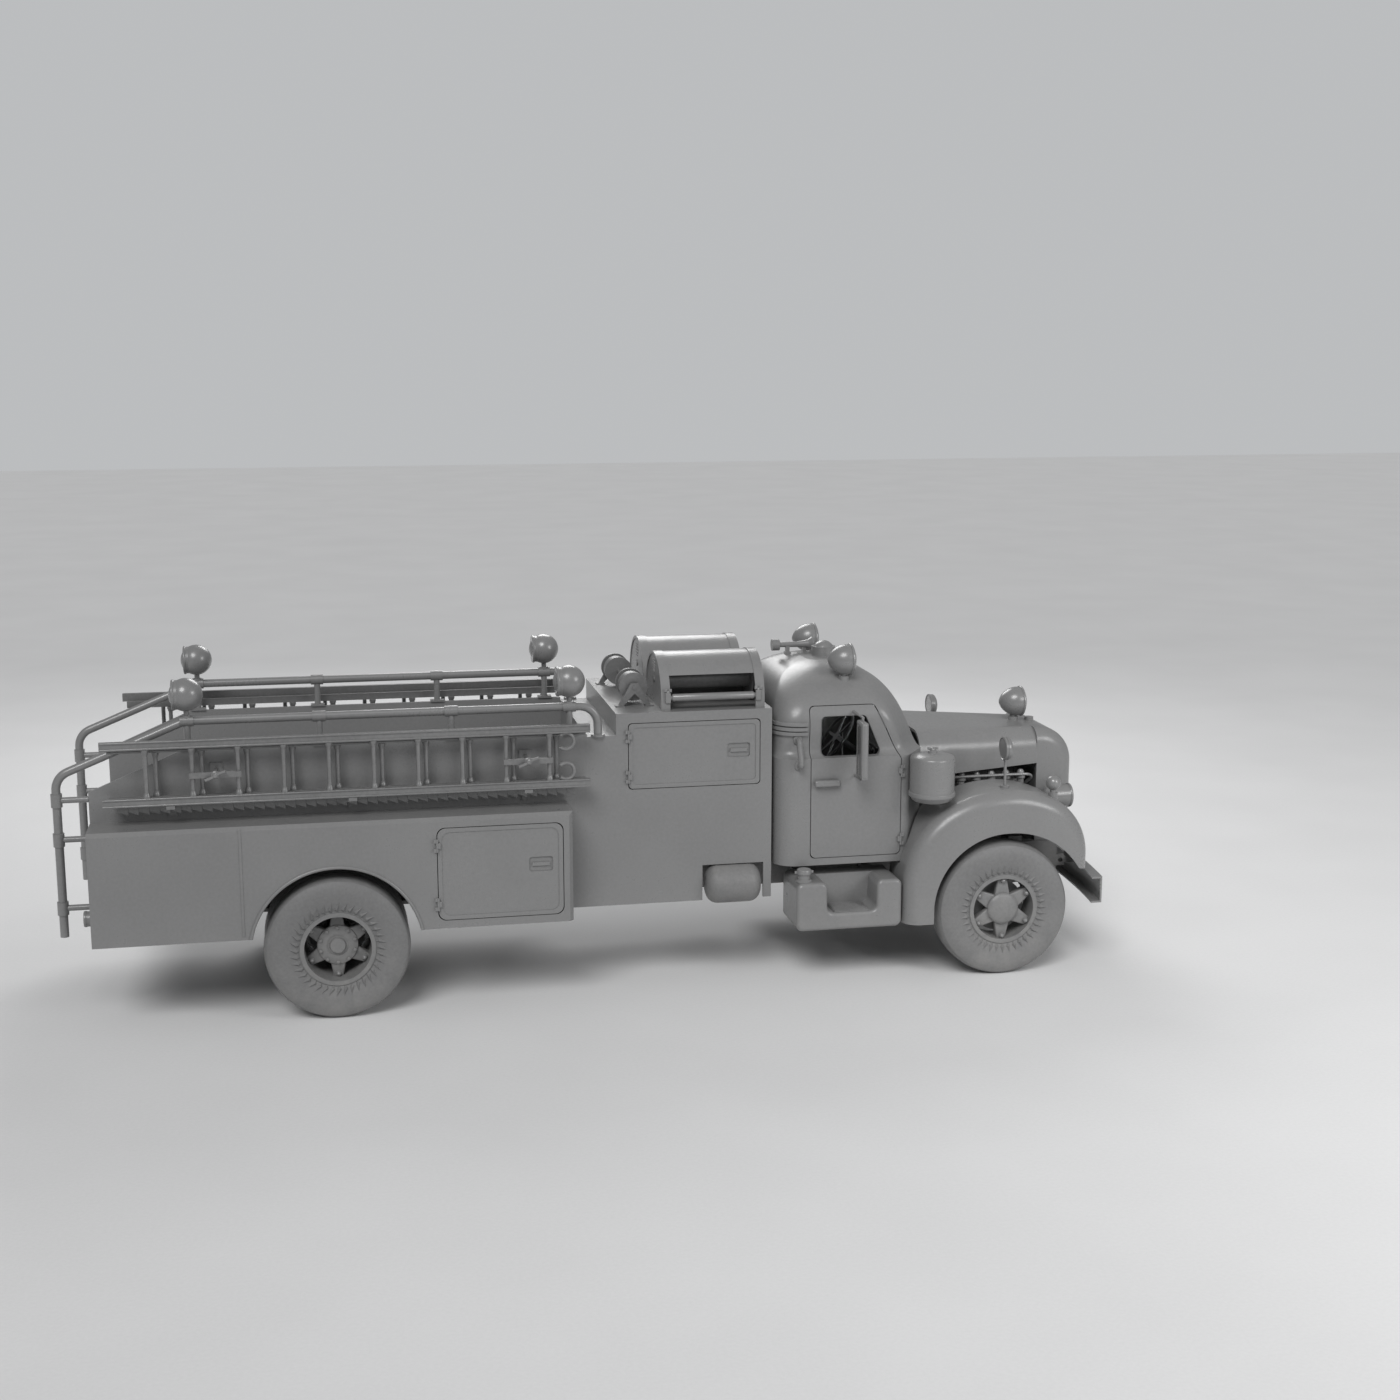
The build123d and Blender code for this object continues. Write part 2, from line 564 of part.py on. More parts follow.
def cab_outline(z, section, inset):
    back, half, corner_x, front, front_half, rear_r, front_r = section
    side, nose = half - inset, front_half - 0.6 * inset
    with BuildSketch(Plane.XY.offset(z)) as outline:
        with BuildLine():
            Polyline((back + inset, -side), (corner_x - 0.3 * inset, -side), (front - inset, -nose),
                     (front - inset, nose), (corner_x - 0.3 * inset, side), (back + inset, side), close=True)
        make_face()
        fillet(outline.vertices().group_by(Axis.X)[0], rear_r - 0.5 * inset)
        fillet(outline.vertices().filter_by(lambda v: v.X > corner_x - 0.3 * inset - 1), front_r - 0.5 * inset)
    return outline.sketch


def cab_clearance():
    """Room that the wings leave round the cab's lower body."""
    with BuildPart() as room:
        add(cab_outline(CAB_FLOOR - 20, CAB_BELT_SECTION, -WING_GAP))
        extrude(amount=CAB_BELT - CAB_FLOOR)
    return room.part


# Front wings: rounded crescents over the wheels with an inner panel and a catwalk to the nose
WING_R = 120.0
ARCH_BACK = FRONT_X - 575.0
ARCH_TOP = 1142.0
WING_LOW = 450.0
MIRROR_SEAT = (FRONT_X + 41, 925.0, 1480.0)
MARKER_SEAT = (FRONT_X + 442, 925.0, 1405.0)
# turning points of the crown: crown, rear shoulder, rear face, front shoulder, front face
CROWN = (FRONT_X + 27, WING_TOP)
SHOULDER_BACK = (FRONT_X - 400, 1367.0)
FACE_BACK = (FRONT_X - 800, 736.0)
SHOULDER_FRONT = (FRONT_X + 400, 1382.0)
FACE_FRONT = (FRONT_X + 690, 932.0)


def crown_lines(inset):
    """Crown outline from the rear face to the front face, brought inwards by inset."""
    centre_x, centre_z = FRONT_X - 30, 700.0

    def moved(point):
        dx, dz = point[0] - centre_x, point[1] - centre_z
        length = math.hypot(dx, dz)
        return point[0] - inset * dx / length, point[1] - inset * dz / length

    crown = (CROWN[0], CROWN[1] - inset)
    face_back = (FACE_BACK[0] + inset, FACE_BACK[1])
    face_front = (FACE_FRONT[0] - inset, FACE_FRONT[1])
    back = TangentArc(crown, moved(SHOULDER_BACK), tangent=(-1, 0))
    rear = TangentArc(back @ 1, face_back, tangent=back % 1)
    front = TangentArc(crown, moved(SHOULDER_FRONT), tangent=(1, 0))
    brow = TangentArc(front @ 1, face_front, tangent=front % 1)
    return rear @ 1, brow @ 1


def wing_form(inset, inner_y):
    """Solid wing under the crown outline, from inner_y to the outer face, with rounded outer edges."""
    with BuildPart() as form:
        with BuildSketch(side_plane(inner_y)):
            with BuildLine():
                rear_end, front_end = crown_lines(inset)
                Polyline(rear_end, (rear_end.X, WING_LOW - inset), (front_end.X, WING_LOW - inset), front_end)
            make_face()
        extrude(amount=WING_OUT - inset - inner_y)
        outer = form.edges().group_by(Axis.Y)[0]
        fillet(outer.filter_by(lambda e: e.center().Z > WING_LOW), WING_R - inset)
    return form.part


with BuildPart() as wing:
    add(wing_form(0, WING_IN))
    add(wing_form(WING_SKIN, WING_IN + 25), mode=Mode.SUBTRACT)
    with BuildSketch(side_plane(WING_IN)):
        with BuildLine():
            Line((ARCH_BACK, 0), (ARCH_BACK, HUB_Z + 60))
            ThreePointArc((ARCH_BACK, HUB_Z + 60), (FRONT_X - 400, HUB_Z + 440), (FRONT_X + 30, ARCH_TOP))
            ThreePointArc((FRONT_X + 30, ARCH_TOP), (FRONT_X + 400, 1040), (FRONT_X + 608, 830))
            Polyline((FRONT_X + 608, 830), (FRONT_X + 800, 790), (FRONT_X + 800, 0), (ARCH_BACK, 0))
        make_face()
    extrude(amount=WING_OUT - WING_IN, mode=Mode.SUBTRACT)
    add(cab_clearance(), mode=Mode.SUBTRACT)
    with BuildSketch(side_plane(WING_IN)):
        with Locations((FRONT_X, CATWALK_Z - 30 - 500)):
            Rectangle(3000, 1000)
    extrude(amount=25, mode=Mode.SUBTRACT)
    with Locations((FRONT_X + 60, -(WING_IN + NOSE_Y + 25) / 2, CATWALK_Z - 15)):
        Box(1080, WING_IN + 25 - NOSE_Y, 30)
    for x, y, z in (MIRROR_SEAT, MARKER_SEAT):
        with Locations((x, -y, z - 30)):
            Cylinder(36, 60)
with BuildPart() as front_wings:
    add(wing.part)
    mirror(about=Plane.XZ)
front_wings.part.label = "front_wings"
export_step(front_wings.part, "parts/front_wings.step")

# Bowed channel bumper on two frame brackets
BUMPER_HALF = 1100.0
BUMPER_BOW = 80.0
BUMPER_LOW = 540.0
BUMPER_TOP = 750.0
BUMPER_T = 14.0
BUMPER_LIP = 85.0


def bow_lines(depth):
    front = ThreePointArc((BUMPER_X - BUMPER_BOW, -BUMPER_HALF), (BUMPER_X, 0),
                          (BUMPER_X - BUMPER_BOW, BUMPER_HALF))
    back = ThreePointArc((BUMPER_X - BUMPER_BOW - depth, BUMPER_HALF), (BUMPER_X - depth, 0),
                         (BUMPER_X - BUMPER_BOW - depth, -BUMPER_HALF))
    Line(front @ 1, back @ 0)
    Line(back @ 1, front @ 0)


# columns: lower face, height, depth back from the front face
BUMPER_BANDS = ((BUMPER_LOW, BUMPER_TOP - BUMPER_LOW, BUMPER_T), (BUMPER_LOW, BUMPER_T, BUMPER_LIP),
                (BUMPER_TOP - BUMPER_T, BUMPER_T, BUMPER_LIP))
with BuildPart() as bumper:
    for low, height, depth in BUMPER_BANDS:
        with BuildSketch(Plane.XY.offset(low)):
            with BuildLine():
                bow_lines(depth)
            make_face()
        extrude(amount=height)
    for side in (-1, 1):
        with Locations(((FRAME_FRONT + BUMPER_X - 20) / 2, side * 350, 700)):
            Box(BUMPER_X - 20 - FRAME_FRONT, 50, 60)
bumper.part.label = "bumper"
export_step(bumper.part, "parts/bumper.step")


# Cab shell: one pressed form with a domed roof, hollowed, with openings for the doors and the panes
def cab_form(inset):
    """Solid cab whose faces are brought inwards by inset, with a domed roof."""
    with BuildPart() as form:
        add(cab_outline(CAB_FLOOR + inset, CAB_BELT_SECTION, inset))
        extrude(amount=CAB_BELT - CAB_FLOOR - inset)
        add(cab_outline(CAB_BELT, CAB_BELT_SECTION, inset))
        for share, *section in CAB_DOME:
            add(cab_outline(CAB_BELT + share * (CAB_ROOF - inset - CAB_BELT), section, inset))
        loft()
    return form.part


DOOR_BACK = FRONT_X - 1495.0
DOOR_FRONT = FRONT_X - 782.0
DOOR_LOW = 960.0
DOOR_TOP = 2130.0
DOOR_SLOPE_X = FRONT_X - 985.0
SCREEN_LOW = 1800.0
SCREEN_TOP = 2150.0


def door_prism(gap):
    """Slab through the right-hand cab side in the door's outline, grown by gap."""
    with BuildPart() as prism:
        with BuildSketch(side_plane(520)) as outline:
            with BuildLine():
                Polyline((DOOR_BACK - gap, DOOR_LOW - gap), (DOOR_FRONT + gap, DOOR_LOW - gap),
                         (DOOR_FRONT + gap, CAB_BELT - 30), (DOOR_SLOPE_X + gap, DOOR_TOP + gap),
                         (DOOR_BACK - gap, DOOR_TOP + gap), close=True)
            make_face()
            fillet(outline.vertices(), 40)
        extrude(amount=500)
    return prism.part


with BuildPart() as screen_prisms:
    with BuildSketch(cross_plane(FRONT_X - 1080)):
        for side in (-1, 1):
            with Locations((side * 240, (SCREEN_LOW + SCREEN_TOP) / 2)):
                RectangleRounded(430, SCREEN_TOP - SCREEN_LOW, 50)
    extrude(amount=700)
    with BuildSketch(cross_plane(CAB_BACK - 100)):
        with Locations((0, 1930)):
            RectangleRounded(900, 300, 60)
    extrude(amount=300)

CAB_HINGE_X = DOOR_FRONT + DOOR_GAP / 2
CAB_HINGES_Z = (1080.0, 1620.0)
ROOF_LAMP = (FRONT_X - 1165, 560.0, CAB_ROOF - 75)
ROOF_SEAT = CAB_ROOF + 2.0
ROOF_PAD = 37.0
BEACON_X = FRONT_X - 1180.0
BEACON_R = 90.0
HORN_Y = 190.0
HORN_FEET = (FRONT_X - 1430, FRONT_X - 1290)
with BuildPart() as cab_shell:
    add(cab_form(0))
    add(cab_form(CAB_WALL), mode=Mode.SUBTRACT)
    door_hole = door_prism(DOOR_GAP)
    add(door_hole, mode=Mode.SUBTRACT)
    mirror(door_hole, about=Plane.XZ, mode=Mode.SUBTRACT)
    add(screen_prisms.part, mode=Mode.SUBTRACT)
    for side in (-1, 1):
        for x in (CAB_BACK + 250, CAB_FRONT - 250):
            with Locations((x, side * (RAIL_Y - RAIL_W / 2), (FRAME_TOP + CAB_FLOOR) / 2)):
                Box(120, RAIL_W, CAB_FLOOR - FRAME_TOP)
        with Locations((ROOF_LAMP[0], side * ROOF_LAMP[1], ROOF_LAMP[2] - 26)):
            Cylinder(40, 52)
    with Locations((BEACON_X, 0, ROOF_SEAT - ROOF_PAD / 2)):
        Cylinder(BEACON_R + 12, ROOF_PAD)
    for x in HORN_FEET:
        with Locations((x, HORN_Y, ROOF_SEAT - ROOF_PAD / 2)):
            Box(46, 52, ROOF_PAD)
    for z in CAB_HINGES_Z:
        cab_hinge = hinge_on_body(CAB_HINGE_X, CAB_Y, z, 1)
        add(cab_hinge)
        mirror(cab_hinge, about=Plane.XZ)
cab_shell.part.label = "cab_shell"
export_step(cab_shell.part, "parts/cab_shell.step")

# Windscreen panes and rear window, set in the middle of the wall
with BuildPart() as cab_glass:
    add(cab_form(14))
    add(cab_form(22), mode=Mode.SUBTRACT)
    add(screen_prisms.part, mode=Mode.INTERSECT)
cab_glass.part.label = "cab_glass"
export_step(cab_glass.part, "parts/cab_glass.step")

# Cab doors with window opening, handle and a tall mirror on tube arms
MIRROR_X = FRONT_X - 1149.0
MIRROR_Y = 1048.0
ARM_R = 11.0
with BuildPart() as cab_door_right:
    add(cab_form(0))
    add(cab_form(CAB_WALL), mode=Mode.SUBTRACT)
    add(door_prism(0), mode=Mode.INTERSECT)
    with BuildSketch(side_plane(520)) as window:
        with BuildLine():
            Polyline((DOOR_BACK + 85, 1745), (DOOR_FRONT - 135, 1745), (DOOR_SLOPE_X - 70, DOOR_TOP - 70),
                     (DOOR_BACK + 85, DOOR_TOP - 70), close=True)
        make_face()
        fillet(window.vertices(), 40)
    extrude(amount=500, mode=Mode.SUBTRACT)
    with Locations((DOOR_BACK + 120, -CAB_Y - 28, 1550)):
        Box(180, 16, 26)
    for x in (DOOR_BACK + 50, DOOR_BACK + 190):
        with Locations((x, -CAB_Y - 10, 1550)):
            Box(22, 40, 22)
    with Locations((MIRROR_X, -MIRROR_Y, 1838)):
        Box(44, 160, 430)
    for z, reach in ((2085, 715), (1600, CAB_Y - 20)):
        with Locations((MIRROR_X, -(MIRROR_Y + reach) / 2, z)):
            Cylinder(ARM_R, MIRROR_Y - reach + 2 * ARM_R, rotation=(90, 0, 0))
        with Locations((MIRROR_X, -MIRROR_Y, (z + 1838) / 2)):
            Cylinder(ARM_R, abs(z - 1838) + ARM_R)
    for z in CAB_HINGES_Z:
        add(hinge_on_door(CAB_HINGE_X, CAB_Y, z, -1))
cab_door_right.part.label = "cab_door_right"
export_step(cab_door_right.part, "parts/cab_door_right.step")

with BuildPart() as cab_door_left:
    mirror(cab_door_right.part, about=Plane.XZ)
cab_door_left.part.label = "cab_door_left"
export_step(cab_door_left.part, "parts/cab_door_left.step")

# Cab fittings: bench seat, dashboard and steering wheel
CAB_DECK = CAB_FLOOR + CAB_WALL
with BuildPart() as bench_seat:
    with Locations((CAB_BACK + 330, 0, CAB_DECK + 190)):
        Box(500, 1400, 380)
    with Locations((CAB_BACK + 145, 0, CAB_DECK + 560)):
        Box(130, 1400, 560)
    fillet(bench_seat.edges().filter_by(lambda e: e.center().Z > CAB_DECK + 150), 40)
bench_seat.part.label = "bench_seat"
export_step(bench_seat.part, "parts/bench_seat.step")

DASH_BACK = CAB_FRONT - CAB_WALL - 170.0
with BuildPart() as dashboard:
    with BuildSketch(side_plane(-500)) as outline:
        with BuildLine():
            Polyline((CAB_FRONT - CAB_WALL, 1480), (CAB_FRONT - CAB_WALL, 1700), (DASH_BACK + 60, 1700),
                     (DASH_BACK, 1640), (DASH_BACK, 1520), (DASH_BACK + 60, 1480), close=True)
        make_face()
    extrude(amount=1000)
dashboard.part.label = "dashboard"
export_step(dashboard.part, "parts/dashboard.step")

STEER_Y = 390.0
STEER_R = 225.0
STEER_TILT = 35.0
with BuildPart() as steering_wheel:
    hub = Vector(DASH_BACK - 210, STEER_Y, 1640)
    tilt = Plane(origin=hub, x_dir=(0, 1, 0), z_dir=(-math.cos(math.radians(STEER_TILT)), 0,
                                                    math.sin(math.radians(STEER_TILT))))
    with Locations(tilt.location):
        Torus(STEER_R, 14)
    with BuildSketch(tilt):
        Circle(48)
        for turn in range(3):
            Rectangle(2 * STEER_R, 24, rotation=turn * 60)
    extrude(amount=-12)
    with BuildSketch(tilt):
        Circle(26)
    extrude(amount=-220)
    with Locations((DASH_BACK - 10, STEER_Y, 1560)):
        Cylinder(40, 20, rotation=(0, 90, 0))
    with BuildSketch(Plane(origin=(DASH_BACK, 0, 0), x_dir=(0, 1, 0), z_dir=(1, 0, 0))):
        with Locations((STEER_Y, 1560)):
            Rectangle(600, 900)
    extrude(amount=400, mode=Mode.SUBTRACT)
steering_wheel.part.label = "steering_wheel"
export_step(steering_wheel.part, "parts/steering_wheel.step")

# Step tanks under the doors: rounded box with a step notch, strap feet and filler cap
TANK_BACK = FRONT_X - 1649.0
TANK_FRONT = FRONT_X - 815.0
TANK_OUT = 1060.0
TANK_LOW = 434.0
TANK_TOP = 810.0
STEP_Z = 569.0
STEP_BACK = FRONT_X - 1405.0
STEP_FRONT = FRONT_X - 1015.0
STEP_IN = 790.0
TANK_R = 50.0
with BuildPart() as step_tank:
    with BuildSketch(side_plane(STEP_TANK_IN)):
        with Locations(((TANK_BACK + TANK_FRONT) / 2, (TANK_LOW + TANK_TOP) / 2)):
            RectangleRounded(TANK_FRONT - TANK_BACK, TANK_TOP - TANK_LOW, TANK_R)
    extrude(amount=STEP_IN - STEP_TANK_IN)
    with BuildSketch(side_plane(STEP_IN)):
        with BuildLine():
            FilletPolyline((TANK_BACK, TANK_LOW), (TANK_BACK, TANK_TOP), (STEP_BACK, TANK_TOP),
                           (STEP_BACK, STEP_Z), (STEP_FRONT, STEP_Z), (STEP_FRONT, TANK_TOP),
                           (TANK_FRONT, TANK_TOP), (TANK_FRONT, TANK_LOW), radius=TANK_R, close=True)
        make_face()
    extrude(amount=TANK_OUT - STEP_IN)
    fillet(step_tank.faces().sort_by(Axis.Y)[0].edges(), 30)
    with Locations((FRONT_X - 1572, -960, TANK_TOP + 45)):
        Cylinder(48, 100)
    for x in (TANK_BACK + 130, TANK_FRONT - 130):
        with Locations((x, -(STEP_TANK_IN + 200), TANK_LOW - 6)):
            Box(70, 300, 24)
with BuildPart() as step_tanks:
    add(step_tank.part)
    mirror(about=Plane.XZ)
step_tanks.part.label = "step_tanks"
export_step(step_tanks.part, "parts/step_tanks.step")

# Air cleaner canister on a bracket to the cowl corner
CLEANER = (FRONT_X - 562.0, -958.0)
CLEANER_R = 172.0
CLEANER_LOW = 1392.0
with BuildPart() as air_cleaner:
    with BuildSketch(Plane(origin=(CLEANER[0], CLEANER[1], 0), x_dir=(1, 0, 0), z_dir=(0, -1, 0))):
        with BuildLine():
            Polyline((0, CLEANER_LOW), (CLEANER_R - 40, CLEANER_LOW), (CLEANER_R, CLEANER_LOW + 40),
                     (CLEANER_R, 1700), (CLEANER_R + 6, 1704), (CLEANER_R + 6, 1722), (60, 1756), (36, 1762),
                     (36, 1790), (0, 1790), close=True)
        make_face()
    revolve(axis=Axis((CLEANER[0], CLEANER[1], 0), (0, 0, 1)))
    corner_a = Vector(FRONT_X - 720, -CAB_Y, 1560)
    corner_b = Vector(CAB_FRONT, -600, 1560)
    along = (corner_b - corner_a).normalized()
    outward = Vector(along.Y * -1, along.X, 0) * -1
    with BuildSketch(Plane(origin=corner_a + (corner_b - corner_a) * 0.5, x_dir=along, z_dir=outward)):
        Rectangle(90, 160)
    extrude(amount=112)
air_cleaner.part.label = "air_cleaner"
export_step(air_cleaner.part, "parts/air_cleaner.step")

# Air tanks: domed capsules along the rails on two brackets each
AIR_R = 150.0
AIR_Y = 762.0
AIR_Z = 772.0
AIR_BACK = BOX_FRONT - 512.0
AIR_FRONT = BOX_FRONT - 90.0
with BuildPart() as air_tank:
    with Locations(((AIR_BACK + AIR_FRONT) / 2, -AIR_Y, AIR_Z)):
        Cylinder(AIR_R, AIR_FRONT - AIR_BACK, rotation=(0, 90, 0))
    fillet(air_tank.edges().filter_by(GeomType.CIRCLE), 90)
    for x in (AIR_BACK + 120, AIR_FRONT - 120):
        with Locations((x, -(RAIL_Y + AIR_Y - 60) / 2, AIR_Z)):
            Box(40, AIR_Y - 60 - RAIL_Y, 120)
with BuildPart() as air_tanks:
    add(air_tank.part)
    mirror(about=Plane.XZ)
air_tanks.part.label = "air_tanks"
export_step(air_tanks.part, "parts/air_tanks.step")

# Pump box: hollow body with a stepped roof, side skirts and one locker door each side
PUMP_DOOR_BACK = BOX_BACK + 315.0
PUMP_DOOR_FRONT = BOX_FRONT - 95.0
PUMP_DOOR_LOW = 1555.0
PUMP_DOOR_TOP = 2054.0
PUMP_HINGE_X = PUMP_DOOR_BACK - DOOR_GAP / 2
PUMP_HINGES_Z = (1650.0, 1960.0)
NOTCH = 28.0
with BuildPart() as pump_box:
    with BuildSketch(side_plane(-BODY_Y)):
        with BuildLine():
            Polyline((BOX_BACK, POD_LOW), (BOX_FRONT, POD_LOW), (BOX_FRONT, BOX_TOP), (BOX_STEP_X, BOX_TOP),
                     (BOX_STEP_X, BOX_STEP_Z), (BOX_BACK, BOX_STEP_Z), close=True)
        make_face()
    extrude(amount=2 * BODY_Y)
    with BuildSketch(side_plane(-BODY_Y + WALL)):
        with BuildLine():
            Polyline((BOX_BACK + WALL, BOX_FLOOR + WALL), (BOX_FRONT - WALL, BOX_FLOOR + WALL),
                     (BOX_FRONT - WALL, BOX_TOP - WALL), (BOX_STEP_X + WALL, BOX_TOP - WALL),
                     (BOX_STEP_X + WALL, BOX_STEP_Z - WALL), (BOX_BACK + WALL, BOX_STEP_Z - WALL), close=True)
        make_face()
        with Locations(((BOX_BACK + BOX_FRONT) / 2, (POD_LOW + BOX_FLOOR) / 2)):
            Rectangle(BOX_FRONT - BOX_BACK, BOX_FLOOR - POD_LOW)
    extrude(amount=2 * (BODY_Y - WALL), mode=Mode.SUBTRACT)
    with BuildSketch(side_plane(-BODY_Y - 50)):
        with Locations(((PUMP_DOOR_BACK + PUMP_DOOR_FRONT) / 2, (PUMP_DOOR_LOW + PUMP_DOOR_TOP) / 2)):
            RectangleRounded(PUMP_DOOR_FRONT - PUMP_DOOR_BACK + 2 * DOOR_GAP,
                             PUMP_DOOR_TOP - PUMP_DOOR_LOW + 2 * DOOR_GAP, 30)
        with Locations(((AIR_BACK + AIR_FRONT) / 2, BOX_FLOOR - 200)):
            Rectangle(AIR_FRONT - AIR_BACK + 2 * NOTCH, 400)
    extrude(amount=2 * (BODY_Y + 50), mode=Mode.SUBTRACT)
    for side in (-1, 1):
        with Locations(((BOX_BACK + BOX_FRONT) / 2, side * (RAIL_Y - RAIL_W / 2), (FRAME_TOP + BOX_FLOOR) / 2)):
            Box(BOX_FRONT - BOX_BACK - 100, RAIL_W, BOX_FLOOR - FRAME_TOP)
    for z in PUMP_HINGES_Z:
        pump_hinge = hinge_on_body(PUMP_HINGE_X, BODY_Y, z, -1)
        add(pump_hinge)
        mirror(pump_hinge, about=Plane.XZ)
pump_box.part.label = "pump_box"
export_step(pump_box.part, "parts/pump_box.step")


def locker_door(x_back, x_front, z_low, z_top, y_out, radius, latch_z):
    """Flat right-hand locker door, with a raised rim and a recessed latch near its front edge."""
    with BuildPart() as door:
        with BuildSketch(side_plane(y_out - WALL)):
            with Locations(((x_back + x_front) / 2, (z_low + z_top) / 2)):
                RectangleRounded(x_front - x_back, z_top - z_low, radius)
        extrude(amount=WALL)
        with BuildSketch(side_plane(y_out)):
            with Locations(((x_back + x_front) / 2, (z_low + z_top) / 2)):
                RectangleRounded(x_front - x_back - 60, z_top - z_low - 60, radius)
        extrude(amount=-6, mode=Mode.SUBTRACT)
        with BuildSketch(side_plane(y_out - 6)):
            with Locations((x_front - 162, latch_z)):
                RectangleRounded(176, 110, 20)
        extrude(amount=-14, mode=Mode.SUBTRACT)
        with Locations((x_front - 162, -(y_out - 13), latch_z)):
            Box(130, 16, 26)
    return door.part


with BuildPart() as pump_door_right:
    add(locker_door(PUMP_DOOR_BACK, PUMP_DOOR_FRONT, PUMP_DOOR_LOW, PUMP_DOOR_TOP, BODY_Y, 30, 1820))
    for z in PUMP_HINGES_Z:
        add(hinge_on_door(PUMP_HINGE_X, BODY_Y, z, 1))
pump_door_right.part.label = "pump_door_right"
export_step(pump_door_right.part, "parts/pump_door_right.step")

with BuildPart() as pump_door_left:
    mirror(pump_door_right.part, about=Plane.XZ)
pump_door_left.part.label = "pump_door_left"
export_step(pump_door_left.part, "parts/pump_door_left.step")

# Water tank under the hose bed, standing on the rails
TANK_Y = 420.0
with BuildPart() as water_tank:
    with Locations(((REAR_X - 1600 + BOX_BACK - 20) / 2, 0, (FRAME_TOP + BED_FLOOR - BED_FLOOR_T) / 2)):
        Box(BOX_BACK - 20 - REAR_X + 1600, 2 * TANK_Y, BED_FLOOR - BED_FLOOR_T - FRAME_TOP)
    fillet(water_tank.edges().filter_by(Axis.X), 50)
water_tank.part.label = "water_tank"
export_step(water_tank.part, "parts/water_tank.step")

# Hose bed: floor, side walls with a sloping tail, rear panel
TAIL_TOP = 1709.0
SLOPE_X = REAR_X - 1060.0
TYRE_CLEAR = 600.0
with BuildPart() as hose_bed:
    with BuildSketch(side_plane(-BODY_Y)):
        with BuildLine():
            Polyline((POD_BACK, POD_LOW), (BOX_BACK, POD_LOW), (BOX_BACK, BED_TOP), (SLOPE_X, BED_TOP),
                     (POD_BACK, TAIL_TOP), close=True)
        make_face()
        with Locations((REAR_X, HUB_Z)):
            Circle(TYRE_CLEAR, mode=Mode.SUBTRACT)
    extrude(amount=2 * BODY_Y)
    with Locations(((POD_BACK + BOX_BACK) / 2, 0, BED_FLOOR + 500)):
        Box(BOX_BACK - POD_BACK + 100, 2 * (BODY_Y - WALL), 1000, mode=Mode.SUBTRACT)
    with Locations(((POD_BACK + POD_WALL + BOX_BACK + 100) / 2, 0, BED_FLOOR - BED_FLOOR_T - 500)):
        Box(BOX_BACK + 100 - POD_BACK - POD_WALL, 2 * (BODY_Y - WALL), 1000, mode=Mode.SUBTRACT)
hose_bed.part.label = "hose_bed"
export_step(hose_bed.part, "parts/hose_bed.step")

# Side pods: lockers before and behind an arched wheel opening
ARCH_R = TYRE_R + 90.0
POD_EASE = 28.0
POD_DOOR_BACK = REAR_X + 734.0
POD_DOOR_FRONT = REAR_X + 1650.0
POD_DOOR_LOW = 716.0
POD_DOOR_TOP = 1404.0
POD_HINGE_X = POD_DOOR_BACK - DOOR_GAP / 2
POD_HINGES_Z = (840.0, 1280.0)
LOCKER_BACK = REAR_X + ARCH_R + 2 * POD_WALL
with BuildPart() as pod:
    with BuildSketch(side_plane(BODY_Y)):
        with Locations(((POD_BACK + POD_FRONT) / 2, (POD_LOW + POD_TOP) / 2)):
            Rectangle(POD_FRONT - POD_BACK, POD_TOP - POD_LOW)
        with Locations((REAR_X, HUB_Z)):
            Circle(ARCH_R, mode=Mode.SUBTRACT)
    extrude(amount=POD_Y - BODY_Y)
    chamfer(pod.edges().filter_by(lambda e: e.center().Y < -POD_Y + 1 and (
        e.center().Z > POD_TOP - 1 or e.center().X > POD_FRONT - 1)), POD_EASE)
    with BuildSketch(side_plane(BODY_Y)):
        # columns: rear end and front end of each locker
        for back, front in ((POD_BACK + POD_WALL, REAR_X - ARCH_R - POD_WALL),
                            (REAR_X + ARCH_R + POD_WALL, POD_FRONT - POD_WALL)):
            with Locations(((back + front) / 2, (POD_LOW + POD_TOP) / 2)):
                Rectangle(front - back, POD_TOP - POD_LOW - 2 * POD_WALL)
    extrude(amount=POD_Y - BODY_Y - WALL, mode=Mode.SUBTRACT)
    with BuildSketch(side_plane(BODY_Y)):
        with Locations(((POD_DOOR_BACK + POD_DOOR_FRONT) / 2, (POD_DOOR_LOW + POD_DOOR_TOP) / 2)):
            RectangleRounded(POD_DOOR_FRONT - POD_DOOR_BACK + 2 * DOOR_GAP,
                             POD_DOOR_TOP - POD_DOOR_LOW + 2 * DOOR_GAP, 60)
    extrude(amount=POD_Y - BODY_Y + 10, mode=Mode.SUBTRACT)
    for z in POD_HINGES_Z:
        add(hinge_on_body(POD_HINGE_X, POD_Y, z, -1))
with BuildPart() as side_pods:
    add(pod.part)
    mirror(about=Plane.XZ)
side_pods.part.label = "side_pods"
export_step(side_pods.part, "parts/side_pods.step")

with BuildPart() as pod_door_right:
    add(locker_door(POD_DOOR_BACK, POD_DOOR_FRONT, POD_DOOR_LOW, POD_DOOR_TOP, POD_Y, 60, 1100))
    for z in POD_HINGES_Z:
        add(hinge_on_door(POD_HINGE_X, POD_Y, z, 1))
pod_door_right.part.label = "pod_door_right"
export_step(pod_door_right.part, "parts/pod_door_right.step")

with BuildPart() as pod_door_left:
    mirror(pod_door_right.part, about=Plane.XZ)
pod_door_left.part.label = "pod_door_left"
export_step(pod_door_left.part, "parts/pod_door_left.step")

